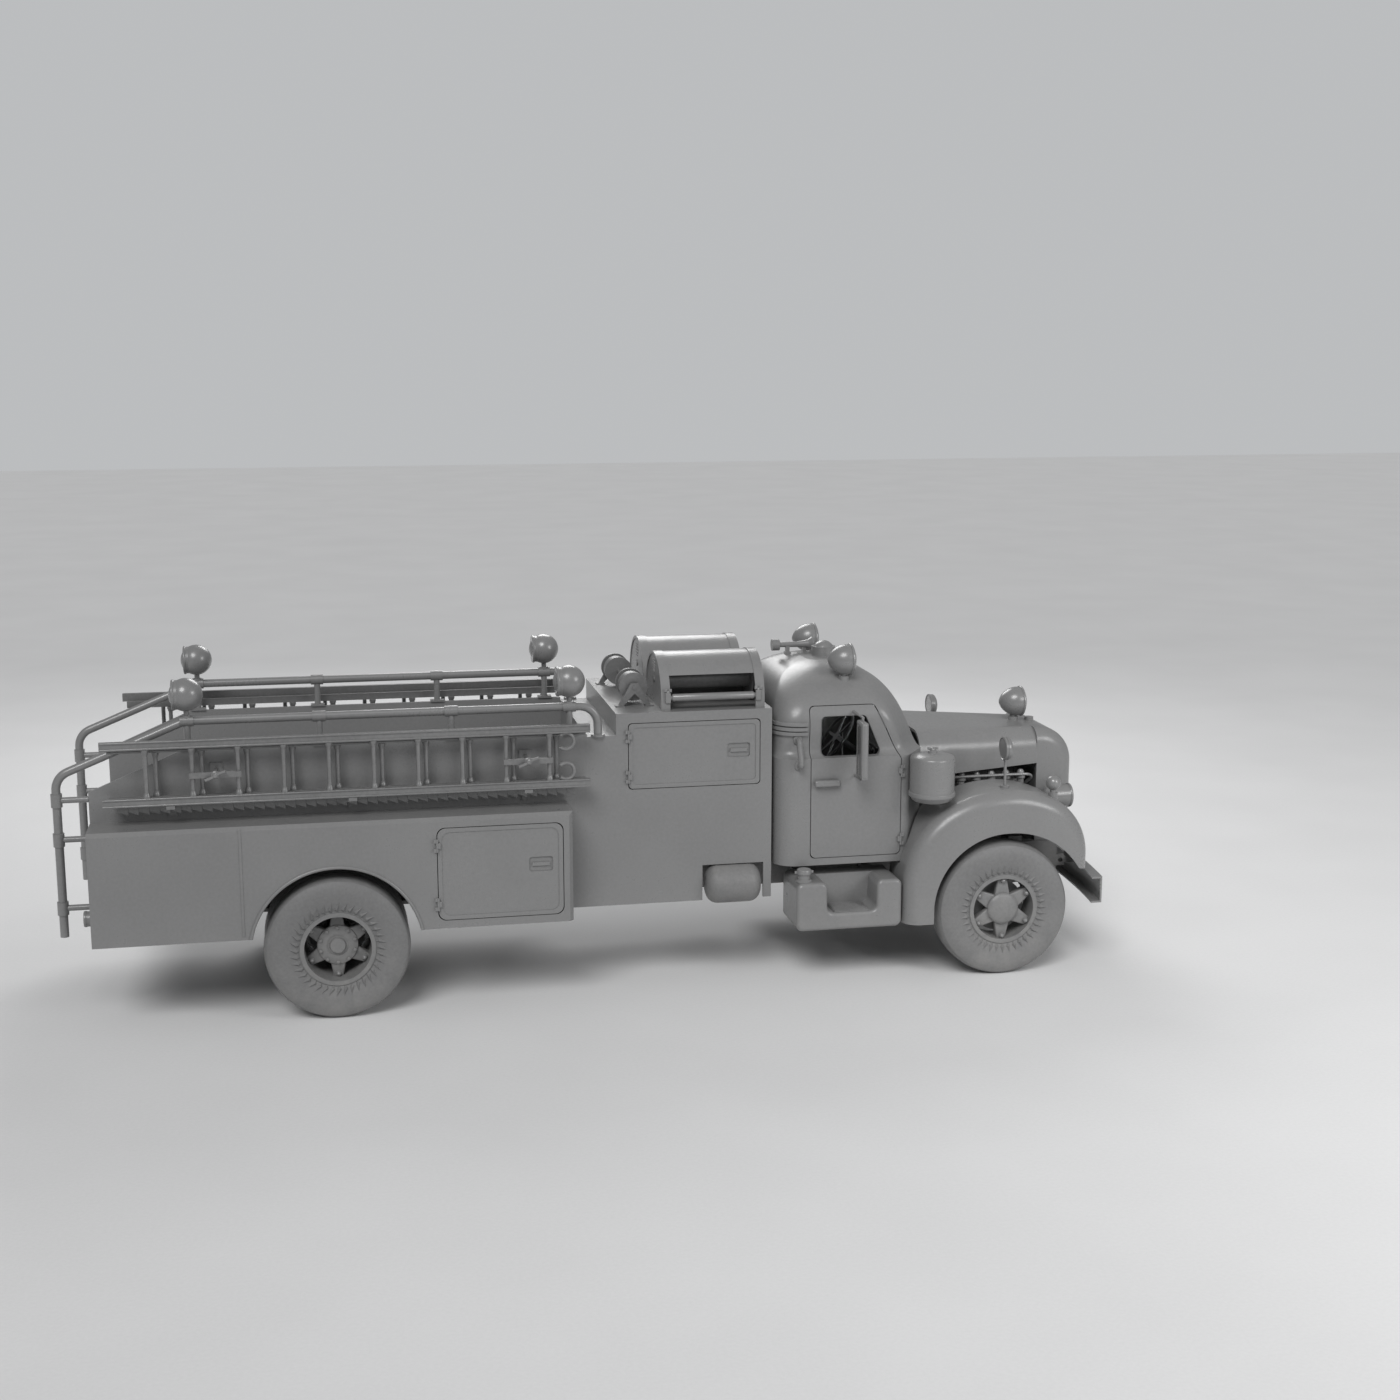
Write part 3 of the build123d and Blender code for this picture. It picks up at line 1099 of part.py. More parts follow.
# Ladder racks on the hose-bed walls: back strips, shelf arms and clamp bars
SHELF_Z = 1635.0
SHELF_OUT = 1000.0
RUNG_0 = REAR_X - 1290.0
RUNG_PITCH = 318.6
RUNGS = 10
CLAMP_RUNGS = (1.5, 8.5)
LADDER_OUT = 972.0
LADDER_IN = 882.0
BEAM_W = 32.0
with BuildPart() as ladder_rack:
    for rung in (0.5, 4.5, 8.5):
        x = RUNG_0 + rung * RUNG_PITCH
        with Locations((x, -(BODY_Y + SHELF_OUT) / 2, SHELF_Z - 12)):
            Box(60, SHELF_OUT - BODY_Y, 24)
        with Locations((x, -BODY_Y - 8, SHELF_Z - 60)):
            Box(60, 16, 120)
    with Locations((REAR_X + 140, -BODY_Y - 60, SHELF_Z - 40)):
        Box(3300, 24, 32)
    for rung in CLAMP_RUNGS:
        x = RUNG_0 + rung * RUNG_PITCH
        with Locations((x, -(BODY_Y + LADDER_OUT + 40) / 2, 1850)):
            Cylinder(12, LADDER_OUT + 40 - BODY_Y, rotation=(90, 0, 0))
        with Locations((x, -(LADDER_OUT + BEAM_W / 2 + 10), 1850)):
            Box(360, 20, 40)
        with Locations((x, -BODY_Y - 6, 1850)):
            Box(90, 12, 90)
with BuildPart() as ladder_racks:
    add(ladder_rack.part)
    mirror(about=Plane.XZ)
ladder_racks.part.label = "ladder_racks"
export_step(ladder_racks.part, "parts/ladder_racks.step")

# Ladders: a roof ladder with curled hooks outside a plain ladder, both on edge in the racks
# columns: distance out, rear end, front end, top of the upper beam, beam height, first rung shift
LADDERS = ((LADDER_OUT, REAR_X - 1600, REAR_X + 1880, 2108.0, 62.0, 0.0),
           (LADDER_IN, REAR_X - 1560, REAR_X + 1860, 2060.0, 52.0, 62.0))
RUNG_R = 16.0
HOOK_R = 62.0
HOOK_X = REAR_X + 1700.0
with BuildPart() as ladder_set:
    for out_y, back, front, top, beam, shift in LADDERS:
        for z in (SHELF_Z + beam / 2, top - beam / 2):
            with Locations(((back + front) / 2, -out_y, z)):
                Box(front - back, BEAM_W, beam)
        for rung in range(RUNGS):
            with Locations((RUNG_0 + shift + rung * RUNG_PITCH, -out_y, (SHELF_Z + top) / 2)):
                Cylinder(RUNG_R, top - SHELF_Z - beam)
    out_y, back, front, top, beam, shift = LADDERS[0]
    for z in (SHELF_Z + beam + HOOK_R, top - beam - HOOK_R):
        with BuildSketch(side_plane(out_y - 9)):
            with Locations((HOOK_X, z)):
                Circle(HOOK_R + 9)
                Circle(HOOK_R - 9, mode=Mode.SUBTRACT)
            with Locations((HOOK_X - HOOK_R, z)):
                Rectangle(1.4 * HOOK_R, 96, mode=Mode.SUBTRACT)
        extrude(amount=18)
with BuildPart() as ladders:
    add(ladder_set.part)
    mirror(about=Plane.XZ)
ladders.part.label = "ladders"
export_step(ladders.part, "parts/ladders.step")

# Grab rails: one bent tube each side from the box step over the bed wall and down the tail
RAIL_TUBE = 31.0
TUBE_Y = BODY_Y - WALL / 2
TUBE_Z = 2203.0
RAIL_BACK = REAR_X - 1930.0
RAIL_BASE = REAR_X + 1968.0
POSTS = (REAR_X - 1005, REAR_X - 74, REAR_X + 879, REAR_X + 1755)
STUBS_Z = (1661.0, 1372.0, 865.0)
RAIL_LAMP_X = (POSTS[0], POSTS[3])
LAMP_PAD = TUBE_Z + RAIL_TUBE + 12.0
with BuildPart() as grab_rail:
    with BuildLine(side_plane(TUBE_Y)) as route:
        FilletPolyline((RAIL_BASE, BOX_STEP_Z + 10), (RAIL_BASE, TUBE_Z), (REAR_X - 1020, TUBE_Z),
                       (RAIL_BACK, 1830), (RAIL_BACK, POD_LOW), radius=140)
    with BuildSketch(Plane(origin=route.wire() @ 0, z_dir=route.wire() % 0)):
        Circle(RAIL_TUBE)
    sweep(path=route.wire())
    with Locations((RAIL_BASE, -TUBE_Y, BOX_STEP_Z + 8)):
        Cylinder(52, 16)
    for x in POSTS:
        with Locations((x, -TUBE_Y, (BED_TOP + TUBE_Z) / 2)):
            Cylinder(24, TUBE_Z - BED_TOP)
        with Locations((x, -TUBE_Y, BED_TOP + 8)):
            Box(110, 60, 16)
        with Locations((x, -TUBE_Y, TUBE_Z)):
            Cylinder(40, 96, rotation=(0, 90, 0))
    for x in RAIL_LAMP_X:
        with Locations((x, -TUBE_Y, (TUBE_Z + LAMP_PAD) / 2)):
            Cylinder(34, LAMP_PAD - TUBE_Z)
    for z in STUBS_Z:
        with Locations(((RAIL_BACK + POD_BACK) / 2, -TUBE_Y, z)):
            Cylinder(22, POD_BACK - RAIL_BACK, rotation=(0, 90, 0))
        with Locations((RAIL_BACK, -TUBE_Y, z)):
            Cylinder(40, 96)
with BuildPart() as grab_rails:
    add(grab_rail.part)
    mirror(about=Plane.XZ)
grab_rails.part.label = "grab_rails"
export_step(grab_rails.part, "parts/grab_rails.step")

# Round lamps on the grab rails and small lamps on the pod tails
GLOBE_R = 120.0
GLOBE_Z = TUBE_Z + 1.6 * GLOBE_R
TAIL_LAMP = (POD_BACK, 960.0, 830.0)
with BuildPart() as rail_lamps:
    for side in (-1, 1):
        for x in RAIL_LAMP_X:
            with Locations((x, side * TUBE_Y, GLOBE_Z)):
                Sphere(GLOBE_R)
            with Locations((x - 70, side * TUBE_Y, GLOBE_Z)):
                Cylinder(106, 40, rotation=(0, 90, 0))
            with Locations((x, side * TUBE_Y, (LAMP_PAD + GLOBE_Z) / 2)):
                Cylinder(20, GLOBE_Z - LAMP_PAD)
        with Locations((TAIL_LAMP[0] - 25, side * TAIL_LAMP[1], TAIL_LAMP[2])):
            Cylinder(55, 50, rotation=(0, 90, 0))
rail_lamps.part.label = "rail_lamps"
export_step(rail_lamps.part, "parts/rail_lamps.step")

# Hose reel covers: arched hoods with banded ends, open low on the outer side, over live reels
REEL_BACK = BOX_FRONT - 845.0
REEL_FRONT = BOX_FRONT - 45.0
REEL_Y = 385.0
REEL_R = 345.0
REEL_Z = BOX_TOP + 58.0
BAND_W = 70.0
BAND_T = 22.0
COVER_T = 12.0
REEL_SHAFT = 25.0
REEL_AXIS_Z = BOX_TOP + 185.0


def arch(radius, thick):
    """Half-round arch on straight legs, drawn in a cross plane, or a solid plate where thick is 0."""
    with Locations((-REEL_Y, REEL_Z)):
        Circle(radius)
    with Locations((-REEL_Y, REEL_Z - radius / 2)):
        Rectangle(2 * radius, radius)
    if thick:
        with Locations((-REEL_Y, REEL_Z)):
            Circle(radius - thick, mode=Mode.SUBTRACT)
        with Locations((-REEL_Y, REEL_Z - radius / 2)):
            Rectangle(2 * (radius - thick), radius, mode=Mode.SUBTRACT)
    with Locations((-REEL_Y, BOX_TOP - 250)):
        Rectangle(3 * radius, 500, mode=Mode.SUBTRACT)


with BuildPart() as reel_cover:
    for x in (REEL_BACK, REEL_FRONT - BAND_W):
        with BuildSketch(cross_plane(x)):
            arch(REEL_R, BAND_T)
        extrude(amount=BAND_W)
    for x in (REEL_BACK + 6, REEL_FRONT - 6 - COVER_T):
        with BuildSketch(cross_plane(x)):
            arch(REEL_R - 5, 0)
            with Locations((-REEL_Y, REEL_AXIS_Z)):
                Circle(REEL_SHAFT + RUN, mode=Mode.SUBTRACT)
        extrude(amount=COVER_T)
    with BuildSketch(cross_plane(REEL_BACK + BAND_W / 2)):
        arch(REEL_R - 6, COVER_T)
        with Locations((-REEL_Y - REEL_R, BOX_TOP)):
            Rectangle(2 * REEL_R, 2 * 255, mode=Mode.SUBTRACT)
    extrude(amount=REEL_FRONT - REEL_BACK - BAND_W)
    with Locations(((REEL_BACK + REEL_FRONT) / 2, -REEL_Y - REEL_R + 11, BOX_TOP + 95)):
        Cylinder(18, REEL_FRONT - REEL_BACK - BAND_W, rotation=(0, 90, 0))
with BuildPart() as reel_covers:
    add(reel_cover.part)
    mirror(about=Plane.XZ)
reel_covers.part.label = "reel_covers"
export_step(reel_covers.part, "parts/reel_covers.step")

DRUM_BACK = REEL_BACK + BAND_W / 2 + 10.0
DRUM_FRONT = REEL_FRONT - BAND_W / 2 - 10.0
with BuildPart() as hose_reel_right:
    # columns: rear face, front face, radius
    for back, front, radius in ((REEL_BACK, REEL_FRONT, REEL_SHAFT), (DRUM_BACK, DRUM_FRONT, 80.0),
                                (DRUM_BACK, DRUM_BACK + 14, 172.0), (DRUM_FRONT - 14, DRUM_FRONT, 172.0)):
        with Locations(((back + front) / 2, -REEL_Y, REEL_AXIS_Z)):
            Cylinder(radius, front - back, rotation=(0, 90, 0))
hose_reel_right.part.label = "hose_reel_right"
export_step(hose_reel_right.part, "parts/hose_reel_right.step")

with BuildPart() as hose_reel_left:
    mirror(hose_reel_right.part, about=Plane.XZ)
hose_reel_left.part.label = "hose_reel_left"
export_step(hose_reel_left.part, "parts/hose_reel_left.step")

# Cord reel: two stepped drums on one cross shaft between A-frames
CORD_X = BOX_BACK + 408.0
CORD_Z = BOX_TOP + 145.0
CORD_Y = 500.0
CORD_SHAFT = 16.0
with BuildPart() as cord_reel_stand:
    for side in (-1, 1):
        with BuildSketch(side_plane(side * CORD_Y - 12)):
            with BuildLine():
                Polyline((CORD_X - 130, BOX_TOP), (CORD_X - 95, BOX_TOP), (CORD_X, CORD_Z - 46),
                         (CORD_X + 95, BOX_TOP), (CORD_X + 130, BOX_TOP), (CORD_X + 28, CORD_Z + 32),
                         (CORD_X - 28, CORD_Z + 32), close=True)
            make_face()
            with Locations((CORD_X, CORD_Z)):
                Circle(CORD_SHAFT + RUN, mode=Mode.SUBTRACT)
        extrude(amount=24)
        for foot in (-113, 113):
            with Locations((CORD_X + foot, side * CORD_Y, BOX_TOP + 5)):
                Box(70, 60, 10)
cord_reel_stand.part.label = "cord_reel_stand"
export_step(cord_reel_stand.part, "parts/cord_reel_stand.step")

with BuildPart() as cord_reel:
    # columns: near end, far end, radius
    for near, far, radius in ((0, CORD_Y + 20, CORD_SHAFT), (255, 465, 80.0), (255, 275, 110.0),
                              (325, 395, 100.0), (445, 465, 110.0)):
        with Locations((CORD_X, -(near + far) / 2, CORD_Z)):
            Cylinder(radius, far - near, rotation=(90, 0, 0))
    mirror(about=Plane.XZ)
cord_reel.part.label = "cord_reel"
export_step(cord_reel.part, "parts/cord_reel.step")

# Roof fittings: two bullet lamps, a beacon and an air horn
LAMP_R = 118.0


def bullet_lamp(x, y, z, radius):
    """Bullet lamp centred at a point: long tapered back, straight bezel, bulged lens to the front."""
    tip = 0.07 * radius
    with BuildPart() as lamp:
        with BuildSketch(Plane(origin=(x, y, z), x_dir=(1, 0, 0), z_dir=(0, -1, 0))):
            with BuildLine():
                ThreePointArc((-1.12 * radius, tip), (-0.66 * radius, 0.72 * radius), (0.22 * radius, radius))
                Line((0.22 * radius, radius), (0.46 * radius, radius))
                ThreePointArc((0.46 * radius, radius), (0.68 * radius, 0.55 * radius), (0.76 * radius, tip))
                Polyline((0.76 * radius, tip), (0.76 * radius, 0), (-1.12 * radius, 0), (-1.12 * radius, tip))
            make_face()
        revolve(axis=Axis((x, y, z), (1, 0, 0)))
    return lamp.part


with BuildPart() as roof_fittings:
    for side in (-1, 1):
        with Locations((ROOF_LAMP[0], side * ROOF_LAMP[1], ROOF_LAMP[2] + 15)):
            Cylinder(26, 30)
        add(bullet_lamp(ROOF_LAMP[0], side * ROOF_LAMP[1], ROOF_LAMP[2] + 8 + LAMP_R, LAMP_R))
    with Locations((BEACON_X, 0, ROOF_SEAT + 35)):
        Cylinder(BEACON_R + 6, 70)
    with Locations((BEACON_X, 0, ROOF_SEAT + 70)):
        Sphere(BEACON_R, arc_size1=0)
    with BuildSketch(Plane(origin=(FRONT_X - 1560, HORN_Y, CAB_ROOF + 60), x_dir=(1, 0, 0), z_dir=(0, -1, 0))):
        with BuildLine():
            Polyline((0, 0), (0, 46), (60, 46), (70, 20), (220, 24), (300, 36), (330, 58), (336, 58), (336, 0),
                     close=True)
        make_face()
    revolve(axis=Axis((FRONT_X - 1560, HORN_Y, CAB_ROOF + 60), (1, 0, 0)))
    for x in HORN_FEET:
        with Locations((x, HORN_Y, ROOF_SEAT + 25)):
            Box(30, 36, 50)
roof_fittings.part.label = "roof_fittings"
export_step(roof_fittings.part, "parts/roof_fittings.step")

# Front fittings: nose lamp, headlamps on the catwalks, wing mirrors and marker lamps
HEAD_Y = 520.0
HEAD_Z = 1275.0
HEAD_R = 92.0
with BuildPart() as front_fittings:
    with Locations((LAMP_X, 0, LAMP_SEAT_Z + 15)):
        Cylinder(26, 30)
    add(bullet_lamp(LAMP_X + 10, 0, LAMP_SEAT_Z + 6 + LAMP_R, LAMP_R))
    for side in (-1, 1):
        with Locations((FRONT_X + 590, side * HEAD_Y, (CATWALK_Z + HEAD_Z) / 2)):
            Cylinder(34, HEAD_Z - CATWALK_Z)
        with Locations((FRONT_X + 600, side * HEAD_Y, HEAD_Z)):
            Sphere(HEAD_R)
        with Locations((FRONT_X + 670, side * HEAD_Y, HEAD_Z)):
            Cylinder(HEAD_R, 140, rotation=(0, 90, 0))
        x, y, z = MIRROR_SEAT
        with Locations((x, side * y, z + 140)):
            Cylinder(11, 280)
        with Locations((x, side * y, z + 292)):
            Cylinder(86, 36, rotation=(0, 90, 0))
        x, y, z = MARKER_SEAT
        with Locations((x, side * y, z + 20)):
            Cylinder(24, 40)
        with Locations((x, side * y, z + 75)):
            Sphere(58)
front_fittings.part.label = "front_fittings"
export_step(front_fittings.part, "parts/front_fittings.step")
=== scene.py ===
import math

import bmesh
import bpy
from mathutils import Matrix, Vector


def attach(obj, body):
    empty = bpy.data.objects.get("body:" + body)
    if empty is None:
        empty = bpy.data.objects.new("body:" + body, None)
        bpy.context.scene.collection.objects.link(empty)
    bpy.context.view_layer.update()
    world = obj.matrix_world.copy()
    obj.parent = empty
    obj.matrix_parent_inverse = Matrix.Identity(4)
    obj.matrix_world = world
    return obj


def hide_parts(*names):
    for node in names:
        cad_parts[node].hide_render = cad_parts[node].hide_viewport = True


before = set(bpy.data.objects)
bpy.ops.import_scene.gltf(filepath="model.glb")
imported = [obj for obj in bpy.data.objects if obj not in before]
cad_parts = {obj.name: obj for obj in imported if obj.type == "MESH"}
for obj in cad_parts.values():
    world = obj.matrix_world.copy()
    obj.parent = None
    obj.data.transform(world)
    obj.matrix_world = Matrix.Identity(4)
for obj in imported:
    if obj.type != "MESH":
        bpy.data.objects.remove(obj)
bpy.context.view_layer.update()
scene = bpy.context.scene
scene.view_settings.view_transform = "Standard"


# Chassis: two pressed steel channel rails with riveted cross members, leaf springs and forged
# axles. All of it is brushed with one satin grey coat, which dust dulls and edges rub through.
def put(tree, kind, sockets=None, **settings):
    """Adds one shader node; each socket is given a value or the output that it takes."""
    node = tree.nodes.new("ShaderNode" + kind)
    for key, value in settings.items():
        setattr(node, key, value)
    for key, value in (sockets or {}).items():
        if isinstance(value, bpy.types.NodeSocket):
            tree.links.new(value, node.inputs[key])
        else:
            node.inputs[key].default_value = value
    return node


def effect_group(name, inputs, output):
    """Empty shader group with float inputs and one float output that varies over the surface."""
    group = bpy.data.node_groups.new(name, "ShaderNodeTree")
    for label, value in inputs:
        socket = group.interface.new_socket(label, in_out="INPUT", socket_type="NodeSocketFloat")
        socket.default_value = value
    group.interface.new_socket(output, in_out="OUTPUT", socket_type="NodeSocketFloat")
    given = group.nodes.new("NodeGroupInput").outputs
    return group, given, group.nodes.new("NodeGroupOutput").inputs[output]


tone_drift, given, result = effect_group("tone_drift", [("Scale", 1.5)], "Drift")
place = put(tone_drift, "TexCoord").outputs["Object"]
broad = put(tone_drift, "TexNoise", {"Vector": place, "Scale": given["Scale"], "Detail": 3.0})
fine = put(tone_drift, "TexNoise", {"Vector": place, "Scale": 42.0, "Detail": 5.0, "Roughness": 0.6})
both = put(tone_drift, "Math", {0: broad.outputs["Fac"], 1: fine.outputs["Fac"]}, operation="ADD")
span = put(tone_drift, "MapRange", {"Value": both.outputs[0], "From Min": 0.75, "From Max": 1.25})
tone_drift.links.new(span.outputs["Result"], result)

settled_dust, given, result = effect_group("settled_dust", [("Reach", 0.9), ("Amount", 0.4)], "Dust")
place = put(settled_dust, "TexCoord").outputs["Object"]
facing = put(settled_dust, "SeparateXYZ", {0: put(settled_dust, "NewGeometry").outputs["Normal"]})
upward = put(settled_dust, "MapRange", {"Value": facing.outputs["Z"], "From Min": 0.4,
                                        "From Max": 1.0, "To Max": 0.55})
height = put(settled_dust, "SeparateXYZ", {0: place})
low = put(settled_dust, "MapRange", {"Value": height.outputs["Z"], "From Min": given["Reach"],
                                     "From Max": 0.1})
cloud = put(settled_dust, "TexNoise", {"Vector": place, "Scale": 7.0, "Detail": 6.0,
                                       "Roughness": 0.65})
patch = put(settled_dust, "MapRange", {"Value": cloud.outputs["Fac"], "From Min": 0.34,
                                       "From Max": 0.72})
share = put(settled_dust, "Math", {0: upward.outputs[0], 1: low.outputs[0]}, operation="MAXIMUM")
film = put(settled_dust, "Math", {0: share.outputs[0], 1: patch.outputs[0]}, operation="MULTIPLY")
amount = put(settled_dust, "Math", {0: film.outputs[0], 1: given["Amount"]}, operation="MULTIPLY")
settled_dust.links.new(amount.outputs[0], result)

worn_edge, given, result = effect_group("worn_edge", [("Width", 0.004), ("Amount", 0.6)], "Wear")
place = put(worn_edge, "TexCoord").outputs["Object"]
rounded = put(worn_edge, "Bevel", {"Radius": given["Width"]}, samples=4)
agreed = put(worn_edge, "VectorMath", {0: rounded.outputs[0],
                                       1: put(worn_edge, "NewGeometry").outputs["Normal"]},
             operation="DOT_PRODUCT")
edge = put(worn_edge, "MapRange", {"Value": agreed.outputs["Value"], "From Min": 0.985,
                                   "From Max": 0.82})
chips = put(worn_edge, "TexNoise", {"Vector": place, "Scale": 26.0, "Detail": 6.0, "Roughness": 0.7})
chipped = put(worn_edge, "MapRange", {"Value": chips.outputs["Fac"], "From Min": 0.42,
                                      "From Max": 0.62})
rubbed = put(worn_edge, "Math", {0: edge.outputs[0], 1: chipped.outputs[0]}, operation="MULTIPLY")
amount = put(worn_edge, "Math", {0: rubbed.outputs[0], 1: given["Amount"]}, operation="MULTIPLY")
worn_edge.links.new(amount.outputs[0], result)

fine_grain, given, result = effect_group("fine_grain", [("Scale", 700.0)], "Height")
place = put(fine_grain, "TexCoord").outputs["Object"]
grain = put(fine_grain, "TexNoise", {"Vector": place, "Scale": given["Scale"], "Detail": 2.0})
fine_grain.links.new(grain.outputs["Fac"], result)


def placed_group(tree, group, **values):
    """Puts an effect group into a material with that material's own values."""
    node = tree.nodes.new("ShaderNodeGroup")
    node.node_tree = group
    for key, value in values.items():
        node.inputs[key].default_value = value
    return node.outputs[0]


def new_material(name):
    """Material with its node tree and its principled shader."""
    material = bpy.data.materials.new(name)
    material.use_nodes = True
    return material, material.node_tree, material.node_tree.nodes["Principled BSDF"]


def grey(level):
    """Opaque neutral colour of one level."""
    return (level, level, level, 1.0)


DUST_TINT = (0.34, 0.33, 0.315, 1.0)
SHEEN_SPREAD = 0.05
DUST_DULLS = 0.4


def coated(name, tone, shade, bare, rough, metal=0.0, coat=0.0, drift=1.3, dust=0.45, reach=0.85,
           wear=0.55, edge=0.004, grain=650.0, depth=0.00025):
    """Coated surface: drifting tones, dust on what faces up or lies low, rubbed edges, fine grain."""
    material, tree, shader = new_material(name)
    drifting = placed_group(tree, tone_drift, Scale=drift)
    dusty = placed_group(tree, settled_dust, Reach=reach, Amount=dust)
    worn = placed_group(tree, worn_edge, Width=edge, Amount=wear)
    body = put(tree, "Mix", {0: drifting, 6: grey(shade), 7: grey(tone)}, data_type="RGBA")
    filmed = put(tree, "Mix", {0: dusty, 6: body.outputs[2], 7: DUST_TINT}, data_type="RGBA")
    rubbed = put(tree, "Mix", {0: worn, 6: filmed.outputs[2], 7: grey(bare)}, data_type="RGBA")
    tree.links.new(rubbed.outputs[2], shader.inputs["Base Color"])
    sheen = put(tree, "MapRange", {"Value": drifting, "To Min": rough + SHEEN_SPREAD,
                                   "To Max": rough - SHEEN_SPREAD})
    dulled = put(tree, "Math", {0: dusty, 1: DUST_DULLS, 2: sheen.outputs[0]},
                 operation="MULTIPLY_ADD")
    tree.links.new(dulled.outputs[0], shader.inputs["Roughness"])
    height = placed_group(tree, fine_grain, Scale=grain)
    bump = put(tree, "Bump", {"Height": height, "Strength": 0.6, "Distance": depth})
    tree.links.new(bump.outputs[0], shader.inputs["Normal"])
    shader.inputs["Metallic"].default_value = metal
    shader.inputs["Coat Weight"].default_value = coat
    shader.inputs["Coat Roughness"].default_value = 0.2
    return material


def dress(material, *nodes):
    """Gives CAD nodes their finish through their own material slots."""
    for node in nodes:
        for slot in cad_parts[node].material_slots:
            slot.material = material


chassis_coat = coated("chassis_coat", 0.19, 0.15, 0.30, 0.52, dust=0.7, reach=1.1, grain=420.0,
                      depth=0.0005)
cast_iron = coated("cast_iron", 0.17, 0.13, 0.28, 0.6, metal=0.2, dust=0.6, reach=1.0, grain=260.0,
                   depth=0.0009)
dress(chassis_coat, "chassis_frame", "leaf_springs", "air_tanks")
dress(cast_iron, "front_axle", "rear_axle", "knuckle_right", "knuckle_left")

# Wheels: cast steel spiders with six tapered arms, and a demountable rim held by a domed nut on a
# stud at each arm's tip. A pressed domed cap closes each front hub, and a bolted drive flange each
# rear hub.
HUB_Z = 0.530
HUB_STEPS = 48
FRONT_X = 3.090
REAR_X = -2.005
SPOKES = 6
ARM_ROOT = 0.095
ARM_TIP = 0.252
ARM_ROOT_W = 0.126
ARM_TIP_W = 0.068
ARM_TIP_T = 0.034
ARM_ROOT_SWELL = 1.7
ARM_EASE = 0.012
FRONT_ARM_Y = 1.031
REAR_ARM_Y = 0.934
NUT_RING = 0.222
NUT_R = 0.021
NUT_FOOT_R = 0.027
NUT_FOOT_H = 0.020
NUT_LIFT = 0.010
NUT_STEPS = 18
HEAD_EASE = 0.002
MERGE = 0.0001
ON_AXIS = 1e-6
BOLTS = 10
BOLT_RING = 0.130
BOLT_R = 0.014
BOLT_H = 0.022
BOLT_Y = -0.976
# columns: distance along the axle, share of the nut's radius
NUT_DOME = ((0.0, 0.0), (0.0, 1.0), (-0.014, 1.0), (-0.027, 0.90), (-0.036, 0.66), (-0.041, 0.32),
            (-0.042, 0.0))
# columns: distance along the axle, radius
HUB_CAP = ((-1.060, 0.0), (-1.060, 0.119), (-1.072, 0.124), (-1.080, 0.119), (-1.090, 0.098),
           (-1.098, 0.062), (-1.1025, 0.028), (-1.1035, 0.0))
HUB_FLANGE = ((-0.950, 0.080), (-0.950, 0.146), (-0.962, 0.150), (-0.970, 0.145), (-0.974, 0.122),
              (-0.978, 0.100), (-0.978, 0.080))
wheel_coat = coated("wheel_coat", 0.21, 0.17, 0.32, 0.42, dust=0.55, reach=0.9, grain=380.0,
                    depth=0.0005)
plated = coated("plated", 0.235, 0.205, 0.33, 0.3, metal=0.1, coat=0.2, dust=0.25, wear=0.3,
                grain=900.0, depth=0.0001)
dress(wheel_coat, "wheel_front_right", "wheel_front_left", "wheel_rear_right", "wheel_rear_left")


def start_piece(adder, name, **settings):
    """Adds a primitive with nothing else selected and opens it for shaping."""
    bpy.ops.object.select_all(action="DESELECT")
    adder(**settings)
    piece = bpy.context.object
    piece.name = piece.data.name = name
    bpy.ops.object.transform_apply(location=True, rotation=True, scale=True)
    bpy.ops.object.mode_set(mode="EDIT")
    return piece


def take_all():
    """Selects all of the open piece."""
    bpy.ops.mesh.select_all(action="SELECT")


def take(piece, kind, test):
    """Selects the open piece's faces or edges that pass the test."""
    bpy.ops.mesh.select_mode(type=kind)
    bpy.ops.mesh.select_all(action="DESELECT")
    shape = bmesh.from_edit_mesh(piece.data)
    for part in shape.faces if kind == "FACE" else shape.edges:
        if test(part):
            part.select_set(True)
    bmesh.update_edit_mesh(piece.data)


def eased(ease, segments):
    """Rounds over every edge of the open piece and closes it."""
    take_all()
    bpy.ops.mesh.bevel(offset=ease, segments=segments, affect="EDGES")
    bpy.ops.object.mode_set(mode="OBJECT")


def only(piece):
    """Makes a piece the one selected and active object."""
    bpy.ops.object.select_all(action="DESELECT")
    piece.select_set(True)
    bpy.context.view_layer.objects.active = piece


def ring_of(piece, count):
    """Repeats a piece round the axle line through the origin and joins the copies."""
    only(piece)
    turn = bpy.data.objects.new("turn", None)
    scene.collection.objects.link(turn)
    turn.rotation_euler = (0.0, math.tau / count, 0.0)
    bpy.context.view_layer.update()
    ring = piece.modifiers.new("ring", "ARRAY")
    ring.use_relative_offset = False
    ring.use_object_offset = True
    ring.offset_object = turn
    ring.count = count
    bpy.ops.object.modifier_apply(modifier="ring")
    bpy.data.objects.remove(turn)


def faced_out():
    """Turns the open piece's faces outward and closes it."""
    take_all()
    bpy.ops.mesh.normals_make_consistent(inside=False)
    bpy.ops.object.mode_set(mode="OBJECT")


def moved_copy(piece, name, shift=(0.0, 0.0, 0.0), mirrored=False):
    """Copies a piece with its own mesh, moved, or turned over to the left side."""
    only(piece)
    bpy.ops.object.duplicate(linked=False)
    copy = bpy.context.object
    copy.name = copy.data.name = name
    copy.location = shift
    copy.scale = (1.0, -1.0 if mirrored else 1.0, 1.0)
    bpy.ops.object.transform_apply(location=True, rotation=True, scale=True)
    if mirrored:
        bpy.ops.object.mode_set(mode="EDIT")
        faced_out()
    return copy


